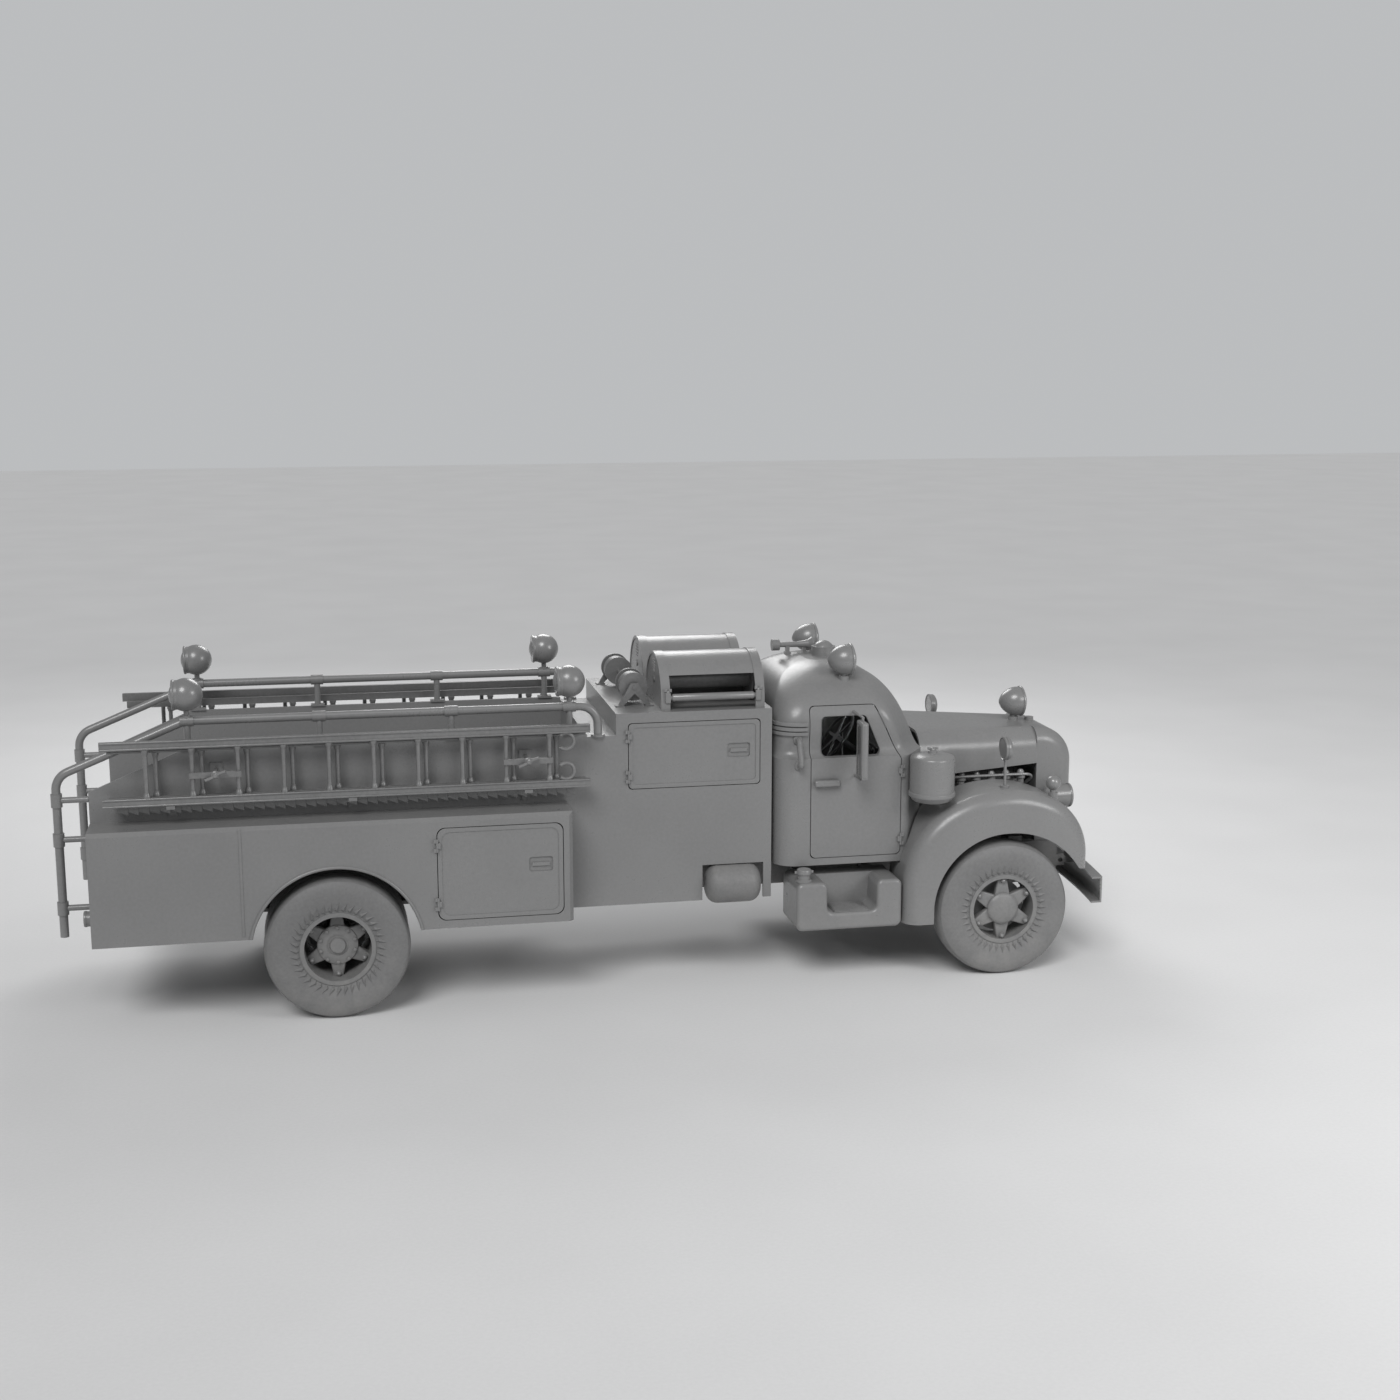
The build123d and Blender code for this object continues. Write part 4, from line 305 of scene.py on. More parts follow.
def fit(piece, material, slot, body="vehicle", angle=35.0):
    """Finishes a piece: smooth between sharp edges, one material, and the body that carries it."""
    only(piece)
    bpy.ops.object.shade_smooth_by_angle(angle=math.radians(angle))
    piece.data.materials.clear()
    piece.data.materials.append(material)
    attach(piece, body)


def fit_pair(piece, material, slot, body="vehicle", angle=35.0):
    """Finishes a right-hand piece and the left-hand copy that mirrors it."""
    left = moved_copy(piece, piece.name.replace("right", "left"), mirrored=True)
    fit(left, material, slot, body.replace("right", "left"), angle)
    fit(piece, material, slot, body, angle)


def cleaned():
    """Merges the open piece's doubled points and turns its faces outward."""
    take_all()
    bpy.ops.mesh.remove_doubles(threshold=MERGE)
    bpy.ops.mesh.normals_make_consistent(inside=False)


def turned(name, outline, steps, axis="Y", place=(0.0, 0.0, 0.0)):
    """Turns an outline of (along the axis, radius) points; a ring unless it starts on the axis."""
    piece = start_piece(bpy.ops.mesh.primitive_circle_add, name, vertices=len(outline),
                        fill_type="NOTHING")
    shape = bmesh.from_edit_mesh(piece.data)
    for vertex, (along, radius) in zip(shape.verts, outline):
        vertex.co = {"X": (along, 0.0, radius), "Y": (0.0, along, radius),
                     "Z": (radius, 0.0, along)}[axis]
    bmesh.update_edit_mesh(piece.data)
    if outline[0][1] == 0.0:
        along = "XYZ".index(axis)
        take(piece, "EDGE", lambda edge: all(abs(off) <= ON_AXIS for end in edge.verts
                                             for index, off in enumerate(end.co) if index != along))
        bpy.ops.mesh.delete(type="EDGE_FACE")
    take_all()
    bpy.ops.mesh.spin(steps=steps, angle=math.tau, center=(0.0, 0.0, 0.0),
                      axis=[1.0 if letter == axis else 0.0 for letter in "XYZ"])
    cleaned()
    bpy.ops.transform.translate(value=place)
    bpy.ops.object.mode_set(mode="OBJECT")
    return piece


def joined(name, *pieces):
    """Joins pieces into the first of them under one name."""
    only(pieces[0])
    for piece in pieces:
        piece.select_set(True)
    bpy.ops.object.join()
    pieces[0].name = pieces[0].data.name = name
    return pieces[0]


def sized(outline, radius, way=1.0):
    """Outline whose radii are shares of one radius, turned about where the way is -1."""
    return [(way * along, radius * share) for along, share in outline]


def rounded_block(name, size, place, ease, segments=3):
    """Block with all its edges rounded over."""
    block = start_piece(bpy.ops.mesh.primitive_cube_add, name, size=1.0, scale=size, location=place)
    eased(ease, segments)
    return block


def hex_head(name, radius, height, ring):
    """Six-sided head that faces along the axle, on a ring of a given radius."""
    head = start_piece(bpy.ops.mesh.primitive_cylinder_add, name, vertices=6, radius=radius,
                       depth=height, location=(0.0, 0.0, ring), rotation=(math.radians(90), 0.0, 0.0))
    eased(HEAD_EASE, 2)
    return head


nut = joined("nut", hex_head("foot", NUT_FOOT_R, NUT_FOOT_H, NUT_RING),
             turned("dome", sized(NUT_DOME, NUT_R), NUT_STEPS, place=(0.0, 0.0, NUT_RING)))
ring_of(nut, SPOKES)
arm = start_piece(bpy.ops.mesh.primitive_cube_add, "arm", size=1.0,
                  scale=(ARM_TIP_W, ARM_TIP_T, ARM_TIP - ARM_ROOT),
                  location=(0.0, 0.0, (ARM_ROOT + ARM_TIP) / 2))
take(arm, "FACE", lambda face: face.normal.z < -0.9)
bpy.ops.transform.resize(value=(ARM_ROOT_W / ARM_TIP_W, ARM_ROOT_SWELL, 1.0))
eased(ARM_EASE, 3)
ring_of(arm, SPOKES)
for axle, x, out in (("front", FRONT_X, FRONT_ARM_Y), ("rear", REAR_X, REAR_ARM_Y)):
    for piece, name, finish, lift in ((nut, "nuts", plated, NUT_LIFT),
                                      (arm, "spider", wheel_coat, 0.0)):
        right = moved_copy(piece, f"{name}_{axle}_right", (x, -out - lift, HUB_Z))
        fit_pair(right, finish, "wheel", f"{axle}_wheel_right")
for pattern in (arm, nut):
    bpy.data.objects.remove(pattern)
cap = turned("hub_cap_right", HUB_CAP, HUB_STEPS, "Y", (FRONT_X, 0.0, HUB_Z))
fit_pair(cap, wheel_coat, "wheel", "front_wheel_right")
flange = turned("hub_flange_right", HUB_FLANGE, HUB_STEPS, "Y", (REAR_X, 0.0, HUB_Z))
bolt = hex_head("bolt", BOLT_R, BOLT_H, BOLT_RING)
ring_of(bolt, BOLTS)
joined("hub_flange_right", flange,
       moved_copy(bolt, "flange_bolts", (REAR_X, BOLT_Y, HUB_Z)))
bpy.data.objects.remove(bolt)
fit_pair(flange, wheel_coat, "wheel", "rear_wheel_right")

# Tyres: moulded rubber with a plain rounded tread, a bulged sidewall, a rim bead and a ring of
# raised pointed rays round the bead. They are pressed over the rims; the rear wheels carry two.
TYRE_STEPS = 120
# columns: distance from the middle plane, radius
TYRE_SECTION = ((0.094, 0.2565), (0.101, 0.2620), (0.106, 0.2760), (0.1045, 0.2850), (0.109, 0.2950),
                (0.1195, 0.3400), (0.1275, 0.3900), (0.1300, 0.4200), (0.1285, 0.4500),
                (0.1220, 0.4800), (0.1090, 0.5060), (0.0880, 0.5210), (0.0600, 0.5275),
                (0.0300, 0.5298))
TYRE_CREASE = 26.0
FRONT_TYRE_Y = 0.975
REAR_TYRE_Y = 0.970
DUAL_SPACING = 0.320
RAYS = 40
RAY_ROOT = 0.302
RAY_FOOT = 0.030
RAY_REACH = 0.064
RAY_HALF_W = 0.021
RAY_SUNK = 0.003
RAY_H = 0.018
RAY_CREST = 0.18
REAR_RAY_SLANT = 0.027
WALL_R = 0.295
WALL_Y = 0.1085
WALL_SLOPE = 0.235
rubber = coated("rubber", 0.195, 0.160, 0.24, 0.55, dust=0.35, reach=0.6, wear=0.25, grain=300.0,
                depth=0.0005)


def turned_tyre(name, slant):
    """One tyre about the origin: section spun round the axle, then the ring of rays on both sides."""
    section = TYRE_SECTION + tuple((-y, r) for y, r in reversed(TYRE_SECTION))
    tyre = turned(name, section, TYRE_STEPS)
    rings = []
    for side in (-1.0, 1.0):
        ray = start_piece(bpy.ops.mesh.primitive_cone_add, "ray", vertices=4, radius1=1.0,
                          radius2=RAY_CREST, depth=1.0, rotation=(math.radians(-90 * side), 0.0, 0.0))
        shape = bmesh.from_edit_mesh(ray.data)
        for vertex in shape.verts:
            out, across, up = vertex.co.y * side + 0.5, vertex.co.x, vertex.co.z
            radius = RAY_ROOT + RAY_REACH * max(up, 0.0) + RAY_FOOT * min(up, 0.0)
            wall = WALL_Y + WALL_SLOPE * (radius - WALL_R)
            vertex.co = (RAY_HALF_W * across + slant * max(up, 0.0),
                         side * (wall - RAY_SUNK + RAY_H * out), radius)
        bmesh.update_edit_mesh(ray.data)
        faced_out()
        ring_of(ray, RAYS)
        rings.append(ray)
    return joined(name, tyre, *rings)


front_tyre = turned_tyre("front_tyre", 0.0)
rear_tyre = turned_tyre("rear_tyre", REAR_RAY_SLANT)
for side, hand in (("right", -1.0), ("left", 1.0)):
    tyre = moved_copy(front_tyre, f"tyre_front_{side}_moulded", (FRONT_X, hand * FRONT_TYRE_Y, HUB_Z))
    fit(tyre, rubber, "tyre", f"front_wheel_{side}", TYRE_CREASE)
    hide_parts(f"tyre_front_{side}")
    name = f"tyres_rear_{side}_moulded"
    outer = moved_copy(rear_tyre, name, (REAR_X, hand * REAR_TYRE_Y, HUB_Z))
    inner = moved_copy(rear_tyre, "inner", (REAR_X, hand * (REAR_TYRE_Y - DUAL_SPACING), HUB_Z))
    joined(name, outer, inner)
    fit(outer, rubber, "tyre", f"rear_wheel_{side}", TYRE_CREASE)
    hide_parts(f"tyres_rear_{side}")
for pattern in (front_tyre, rear_tyre):
    bpy.data.objects.remove(pattern)

# Engine and gearbox: grey iron castings bolted up behind a finned radiator. Along each manifold
# stand elbows with turned unions, all fed by one drawn steel fuel pipe.
ENGINE_BACK = 2.760
CYLINDER_PITCH = 0.125
CYLINDERS = 6
PORT_Y = -0.300
PORT_Z = 1.345
PORT_FLANGE_Y = -0.345
UNION_Y = -0.432
ELBOW_R = 0.027
PIPE_Y = -0.466
PIPE_Z = 1.452
PIPE_R = 0.012
FITTING_STEPS = 16
# columns: y and z of the elbow's control points
ELBOW = ((PORT_Y, PORT_Z), (UNION_Y + 0.050, PORT_Z + 0.004), (UNION_Y, PORT_Z + 0.010),
         (UNION_Y, PORT_Z + 0.060), (UNION_Y, PORT_Z + 0.090))
# columns: place along the axis, radius
UNION = ((1.412, 0.0), (1.412, 0.032), (1.418, 0.038), (1.446, 0.038), (1.452, 0.030), (1.468, 0.028),
         (1.484, 0.018), (1.488, 0.0))
PORT_FLANGE = ((0.0, 0.0), (0.0, 0.046), (-0.016, 0.046), (-0.020, 0.040), (-0.020, 0.0))
PIPE_ROUTE = ((2.790, PIPE_Y, PIPE_Z), (3.000, PIPE_Y, PIPE_Z), (3.200, PIPE_Y - 0.004, PIPE_Z),
              (3.420, PIPE_Y, PIPE_Z), (3.530, PIPE_Y + 0.004, PIPE_Z - 0.004),
              (3.540, PIPE_Y + 0.050, PIPE_Z - 0.060), (3.500, PORT_Y - 0.030, PORT_Z - 0.010))
dress(cast_iron, "engine", "radiator")


def bent_tube(name, route, radius):
    """Drawn tube through a smooth line of control points, closed at both ends."""
    bpy.ops.object.select_all(action="DESELECT")
    bpy.ops.curve.primitive_nurbs_path_add()
    path = bpy.context.object
    path.data.splines.clear()
    line = path.data.splines.new("NURBS")
    line.points.add(len(route) - 1)
    for knot, point in zip(line.points, route):
        knot.co = (*point, 1.0)
    line.order_u = 3
    line.use_endpoint_u = True
    path.data.resolution_u = 5
    path.data.bevel_depth = radius
    path.data.bevel_resolution = 3
    path.data.use_fill_caps = True
    bpy.ops.object.convert(target="MESH")
    tube = bpy.context.object
    tube.name = tube.data.name = name
    bpy.ops.object.mode_set(mode="EDIT")
    cleaned()
    bpy.ops.object.mode_set(mode="OBJECT")
    return tube


fittings = []
for cylinder in range(CYLINDERS):
    x = ENGINE_BACK + (cylinder + 0.5) * CYLINDER_PITCH
    fittings.append(bent_tube("elbow", [(x, y, z) for y, z in ELBOW], ELBOW_R))
    fittings.append(turned("union", UNION, FITTING_STEPS, "Z", (x, UNION_Y, 0.0)))
    fittings.append(turned("flange", PORT_FLANGE, FITTING_STEPS, "Y", (x, PORT_FLANGE_Y, PORT_Z)))
fittings.append(bent_tube("fuel_pipe", PIPE_ROUTE, PIPE_R))
fit_pair(joined("fuel_line_right", *fittings), plated, "engine")

# Bodywork: nose, hood, wings, cab, doors, pump box, hose bed and pods, pressed and welded from
# steel sheet and sprayed in one satin grey, rubbed thin at the folds.
body_paint = coated("body_paint", 0.222, 0.196, 0.31, 0.31, coat=0.15, dust=0.3, reach=0.8, wear=0.4,
                    edge=0.005, grain=900.0, depth=0.00012)
dress(body_paint, "nose_shell", "hood", "front_wings", "cab_shell", "cab_door_right", "cab_door_left",
      "pump_box", "pump_door_right", "pump_door_left", "hose_bed", "side_pods", "pod_door_right",
      "pod_door_left", "reel_covers", "step_tanks", "water_tank", "dashboard")
dress(plated, "bumper", "grab_rails", "rail_lamps", "roof_fittings", "front_fittings")

# Cab belt beads: three rolled steel mouldings, welded one above the other round each rear corner of
# the cab, from the back panel to the door opening.
BEAD_HEIGHTS = (1.931, 1.966, 2.001)
BEAD_WIDTH = 0.026
BEAD_PROUD = 0.020
BEAD_EASE = 0.010
BEAD_FRONT = 1.572
BEAD_IN = -0.52
PANEL_CREASE = 50.0


def skin_sheet(node, name, cuts, keep):
    """Merged copy of a CAD skin, cut by planes whose far side goes, of the faces that pass a test."""
    sheet = bpy.data.objects.new(name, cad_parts[node].data.copy())
    scene.collection.objects.link(sheet)
    only(sheet)
    bpy.ops.object.mode_set(mode="EDIT")
    take_all()
    bpy.ops.mesh.remove_doubles(threshold=MERGE)
    for point, normal in cuts:
        take_all()
        bpy.ops.mesh.bisect(plane_co=point, plane_no=normal, clear_outer=True)
    take(sheet, "FACE", lambda face: not keep(face))
    bpy.ops.mesh.delete(type="FACE")
    bpy.ops.object.mode_set(mode="OBJECT")
    return sheet


def thickened(sheet, thickness, ease, segments=2):
    """Gives a sheet its thickness on the outside and rounds its rims."""
    only(sheet)
    wall = sheet.modifiers.new("wall", "SOLIDIFY")
    wall.thickness = thickness
    wall.offset = 1.0
    bpy.ops.object.modifier_apply(modifier="wall")
    rims = sheet.modifiers.new("rims", "BEVEL")
    rims.width = ease
    rims.segments = segments
    rims.limit_method = "ANGLE"
    rims.angle_limit = math.radians(PANEL_CREASE)
    bpy.ops.object.modifier_apply(modifier="rims")
    return sheet


beads = []
for height in BEAD_HEIGHTS:
    cuts = (((0, 0, height + BEAD_WIDTH / 2), (0, 0, 1)), ((0, 0, height - BEAD_WIDTH / 2), (0, 0, -1)),
            ((BEAD_FRONT, 0, 0), (1, 0, 0)), ((0, BEAD_IN, 0), (0, 1, 0)))
    band = skin_sheet("cab_shell", "bead", cuts,
                      lambda face: face.normal.y < -0.05 or face.normal.x < -0.5)
    beads.append(thickened(band, BEAD_PROUD, BEAD_EASE, 4))
fit_pair(joined("cab_beads_right", *beads), body_paint, "paint", angle=PANEL_CREASE)

# Cab grab handles: a bent steel bar with a turned foot at each end, bolted to the corner post
# behind each door.
HANDLE_X = 1.498
HANDLE_LOW = 1.690
HANDLE_TOP = 1.885
HANDLE_OUT = 0.070
HANDLE_BEND = 0.060
HANDLE_R = 0.023
HANDLE_SUNK = 0.010
HANDLE_BOW = 0.004
FOOT_STEPS = 20
# columns: distance along y from the skin, radius
HANDLE_FOOT = ((0.012, 0.0), (0.012, 0.038), (-0.006, 0.038), (-0.014, 0.032), (-0.016, 0.024),
               (-0.016, 0.0))


def skin_y(node, x, z):
    """Place of a CAD skin's right-hand outer face at a point seen from the side."""
    start, way = Vector((x, -4.0, z)), Vector((0.0, 1.0, 0.0))
    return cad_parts[node].ray_cast(start, way)[1].y


low_y, top_y = skin_y("cab_shell", HANDLE_X, HANDLE_LOW), skin_y("cab_shell", HANDLE_X, HANDLE_TOP)
# columns: y and z of the bar's control points
bar_route = ((low_y + HANDLE_SUNK, HANDLE_LOW), (low_y - HANDLE_OUT, HANDLE_LOW - HANDLE_BOW),
             (low_y - HANDLE_OUT, HANDLE_LOW + HANDLE_BEND),
             (top_y - HANDLE_OUT, HANDLE_TOP - HANDLE_BEND),
             (top_y - HANDLE_OUT, HANDLE_TOP + HANDLE_BOW), (top_y + HANDLE_SUNK, HANDLE_TOP))
bar = bent_tube("cab_handle_right", [(HANDLE_X, y, z) for y, z in bar_route], HANDLE_R)
feet = [turned("handle_foot", HANDLE_FOOT, FOOT_STEPS, "Y", (HANDLE_X, y, z))
        for y, z in ((low_y, HANDLE_LOW), (top_y, HANDLE_TOP))]
fit_pair(joined("cab_handle_right", bar, *feet), plated, "bright_metal")

# Door levers and mirrors: a die-cast lever over each door's catch, and a pressed steel mirror head
# with a rolled rim and a silvered pane that faces the tail. They turn with the doors.
LEVER_PLACE = (1.715, -0.892, 1.550)
LEVER_SIZE = (0.204, 0.036, 0.054)
LEVER_EASE = 0.0175
MIRROR_PLACE = (1.941, -1.048, 1.838)
MIRROR_SIZE = (0.056, 0.172, 0.442)
MIRROR_EASE = 0.026
MIRROR_RIM = 0.006
MIRROR_SINK = 0.005
MIRROR_PANE = (0.006, 0.106, 0.376)
MIRROR_PANE_PLACE = (1.917, -1.048, 1.838)
MIRROR_PANE_EASE = 0.0022
silvered = coated("silvered", 0.27, 0.24, 0.36, 0.12, metal=0.5, dust=0.2, wear=0.1, grain=900.0,
                  depth=0.00004)
lever = rounded_block("door_lever_right", LEVER_SIZE, LEVER_PLACE, LEVER_EASE, 5)
fit_pair(lever, plated, "bright_metal", "cab_door_right")
head = rounded_block("mirror_head_right", MIRROR_SIZE, MIRROR_PLACE, MIRROR_EASE, 5)
bpy.ops.object.mode_set(mode="EDIT")
take(head, "FACE", lambda face: face.normal.x < -0.99)
bpy.ops.mesh.inset(thickness=MIRROR_RIM)
bpy.ops.mesh.extrude_region_move(TRANSFORM_OT_translate={"value": (MIRROR_SINK, 0.0, 0.0)})
bpy.ops.object.mode_set(mode="OBJECT")
pane = rounded_block("mirror_pane_right", MIRROR_PANE, MIRROR_PANE_PLACE, MIRROR_PANE_EASE, 2)
fit_pair(head, body_paint, "bright_metal", "cab_door_right")
fit_pair(pane, silvered, "bright_metal", "cab_door_right")

# Cab glazing: bent panes of safety glass in black moulded rubber, with a little dust in the corners.
# The door windows are wound down, so their rubber shows alone round the opening.
GASKET_T = 0.005
GASKET_EASE = 0.002
EDGE_ON = 0.12
GLASS_TINT = (0.93, 0.95, 0.95, 1.0)
GLASS_IOR = 1.02
glass, tree, shader = new_material("pane_glass")
shader.inputs["Base Color"].default_value = GLASS_TINT
shader.inputs["Transmission Weight"].default_value = 1.0
shader.inputs["IOR"].default_value = GLASS_IOR
dusty = placed_group(tree, settled_dust, Reach=1.0, Amount=0.3)
smear = placed_group(tree, tone_drift, Scale=3.0)
hazed = put(tree, "MapRange", {"Value": smear, "To Min": 0.02, "To Max": 0.10})
misted = put(tree, "Math", {0: dusty, 1: 0.5, 2: hazed.outputs[0]}, operation="MULTIPLY_ADD")
tree.links.new(misted.outputs[0], shader.inputs["Roughness"])
dress(glass, "cab_glass")
moulding = coated("moulding", 0.165, 0.135, 0.22, 0.5, dust=0.3, wear=0.15, grain=500.0, depth=0.0003)
# columns: name, CAD node, body, lowest corner of the opening, highest corner, axis of the cut, push
OPENINGS = (("windscreen_rubber", "cab_shell", "vehicle",
             (2.00, -0.47, 1.79), (2.56, 0.47, 2.16), 0, 0.006),
            ("rear_window_rubber", "cab_shell", "vehicle",
             (1.30, -0.46, 1.77), (1.45, 0.46, 2.09), 0, -0.006),
            ("door_rubber_right", "cab_door_right", "cab_door_right",
             (1.67, -0.90, 1.735), (2.19, -0.65, 2.07), 1, -0.006),
            ("door_rubber_left", "cab_door_left", "cab_door_left",
             (1.67, 0.65, 1.735), (2.19, 0.90, 2.07), 1, 0.006))
for name, node, body, low, high, along, push in OPENINGS:
    strip = skin_sheet(node, name, (), lambda face: abs(face.normal[along]) < EDGE_ON and all(
        a < c < b for a, c, b in zip(low, face.calc_center_median(), high)))
    bpy.ops.object.mode_set(mode="EDIT")
    take_all()
    bpy.ops.transform.translate(value=[push if index == along else 0.0 for index in range(3)])
    bpy.ops.object.mode_set(mode="OBJECT")
    fit(thickened(strip, GASKET_T, GASKET_EASE), moulding, "control", body)

# Bench seat: a folded steel box that carries a seat and a back cushion of padded leathercloth. Each
# cushion is sewn into upright channels, which pull its face in between the stuffed rolls.
SEAT_BASE = ((1.420, -0.680, 0.940), (1.880, 0.680, 1.176))
SEAT_RIM = 0.040
SEAT_RECESS = 0.012
SEAT_EASE = 0.004
SEAT_PAD = ((1.530, -0.685, 1.180), (1.893, 0.685, 1.298))
BACK_PAD = ((1.418, -0.685, 1.205), (1.522, 0.685, 1.766))
PAD_EASE = 0.030
PAD_CREASE = 180.0
PAD_FACE = 0.035
PAD_BACKING = 0.012
VOXEL = 0.014
CHANNELS = 10
CHANNEL_PITCH = 0.137
SEAM_DEPTH = 0.014
SEAM_SPREAD = 0.014
SEAM_REACH = 0.6 * VOXEL
SEAMS = [SEAT_PAD[0][1] + CHANNEL_PITCH * channel for channel in range(1, CHANNELS)]
PRESSURE = 4.0
CLOTH_STEPS = 20
MOST_SWELL = 0.016
hide = coated("leathercloth", 0.16, 0.12, 0.22, 0.5, dust=0.3, wear=0.2, grain=240.0, depth=0.0010)


def cushion(name, corners, face):
    """Stuffed pad: remeshed block, pressed in along its sewn channels, then blown up as cloth."""
    low, high = Vector(corners[0]), Vector(corners[1])
    pad = rounded_block(name, high - low, (low + high) / 2, PAD_EASE, 4)
    pad.data.remesh_voxel_size = VOXEL
    bpy.ops.object.voxel_remesh()
    sewn = pad.vertex_groups.new(name="sewn")
    for vertex in pad.data.vertices:
        gap = min(abs(vertex.co.y - seam) for seam in SEAMS)
        if vertex.co[face] > high[face] - PAD_FACE:
            vertex.co[face] -= SEAM_DEPTH * math.exp(-(gap / SEAM_SPREAD) ** 2)
        if gap < SEAM_REACH or vertex.co[face] < low[face] + PAD_BACKING:
            sewn.add([vertex.index], 1.0, "REPLACE")
    rest = [vertex.co.copy() for vertex in pad.data.vertices]
    stuffing = pad.modifiers.new("stuffing", "CLOTH")
    stuffing.settings.use_pressure = True
    stuffing.settings.uniform_pressure_force = PRESSURE
    stuffing.settings.vertex_group_mass = "sewn"
    stuffing.settings.effector_weights.gravity = 0.0
    stuffing.collision_settings.use_collision = False
    for step in range(1, CLOTH_STEPS + 1):
        scene.frame_set(step)
    only(pad)
    bpy.ops.object.modifier_apply(modifier="stuffing")
    for vertex, start in zip(pad.data.vertices, rest):
        swell = vertex.co - start
        if swell.length > MOST_SWELL:
            vertex.co = start + swell.normalized() * MOST_SWELL
    only(pad)
    smooth = pad.modifiers.new("smooth", "SUBSURF")
    smooth.levels = smooth.render_levels = 1
    bpy.ops.object.modifier_apply(modifier="smooth")
    return pad


low, high = Vector(SEAT_BASE[0]), Vector(SEAT_BASE[1])
seat_box = start_piece(bpy.ops.mesh.primitive_cube_add, "seat_box", size=1.0, scale=high - low,
                       location=(low + high) / 2)
take(seat_box, "FACE", lambda face: face.normal.x > 0.9)
bpy.ops.mesh.inset(thickness=SEAT_RIM)
bpy.ops.mesh.extrude_region_move(TRANSFORM_OT_translate={"value": (-SEAT_RECESS, 0.0, 0.0)})
eased(SEAT_EASE, 2)
fit(seat_box, chassis_coat, "chassis")
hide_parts("bench_seat")
for name, corners, face in (("seat_cushion", SEAT_PAD, 2), ("back_cushion", BACK_PAD, 0)):
    pad = cushion(name, corners, face)
    fit(pad, hide, "seat", angle=PAD_CREASE)
    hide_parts("bench_seat")
scene.frame_set(1)

# Steering wheel and dash: hard rubber moulded over a steel core, and a row of round gauges whose
# plated bezels are clamped into the pressed dash.
GAUGE_X = 2.340
GAUGE_STEPS = 28
# columns: y, z, radius
GAUGES = ((0.360, 1.580, 0.052), (0.215, 1.580, 0.052), (0.090, 1.580, 0.040), (-0.020, 1.580, 0.040))
# columns: distance along x, share of the radius
GAUGE = ((0.003, 0.0), (0.003, 1.0), (-0.010, 1.0), (-0.014, 0.95), (-0.014, 0.86), (-0.006, 0.80),
         (-0.006, 0.0))
control_rubber = coated("control_rubber", 0.14, 0.11, 0.2, 0.4, dust=0.3, wear=0.3, grain=500.0,
                        depth=0.0003)
dress(control_rubber, "steering_wheel")
gauges = [turned("gauge", sized(GAUGE, radius), GAUGE_STEPS, "X", (GAUGE_X, y, z))
          for y, z, radius in GAUGES]
fit(joined("dash_gauges", *gauges), plated, "control")

# Lamps: spun steel shells with a rolled bezel and a pressed lens of thick ribbed glass in front. Two
# stand on the roof, one on the nose, two beside it on the catwalks, four on the rail posts and two
# at the tail.
LENS_T = 0.004
LAMP_STEPS = 36
# columns: name, x, y and z of the lens edge, shell radius there, bulge of the lens, way that it faces
LAMPS = (("roof_lamp_right", 1.978, -0.560, 2.451, 0.118, 0.037, 1.0),
         ("nose_lamp", 3.594, 0.000, 1.959, 0.118, 0.037, 1.0),
         ("headlamp_right", 3.828, -0.520, 1.275, 0.092, 0.022, 1.0),
         ("rail_lamp_rear_right", -3.100, -0.772, 2.395, 0.106, 0.012, -1.0),
         ("rail_lamp_front_right", -0.340, -0.772, 2.395, 0.106, 0.012, -1.0),
         ("tail_lamp_right", -3.765, -0.960, 0.830, 0.055, 0.008, -1.0))
# columns: distance along x, share of the radius
BEZEL = ((-0.010, 0.985), (-0.012, 1.030), (-0.006, 1.060), (0.003, 1.050), (0.008, 1.000),
         (0.006, 0.940), (0.000, 0.930))
LENS_BACK = ((-0.002, 0.0), (-0.002, 0.950))
# columns: share of the bulge, share of the radius
LENS_FACE = ((0.18, 0.950), (0.44, 0.80), (0.40, 0.76), (0.70, 0.56), (0.66, 0.52), (0.90, 0.30),
             (0.86, 0.26), (1.0, 0.08), (1.0, 0.0))
lens_glass = coated("lens_glass", 0.26, 0.23, 0.34, 0.14, coat=0.4, dust=0.2, wear=0.05, grain=300.0,
                    depth=0.0002)
for name, x, y, z, radius, bulge, way in LAMPS:
    bezel = turned(name + "_bezel", sized(BEZEL, radius, way), LAMP_STEPS, "X", (x, y, z))
    ribbed = [(share * bulge + LENS_T, across) for share, across in LENS_FACE]
    outline = sized((*LENS_BACK, *ribbed), radius, way)
    lens = turned(name + "_lens", outline, LAMP_STEPS, "X", (x, y, z))
    close = fit_pair if "right" in name else fit
    close(bezel, plated, "bright_metal")
    close(lens, lens_glass, "lamp")

# Wing mirrors: round spun heads, domed in front, with a rolled rim round the silvered pane. Their
# stalks are bolted to the front wings.
ROUND_MIRROR = (3.131, -0.925, 1.772)
ROUND_R = 0.089
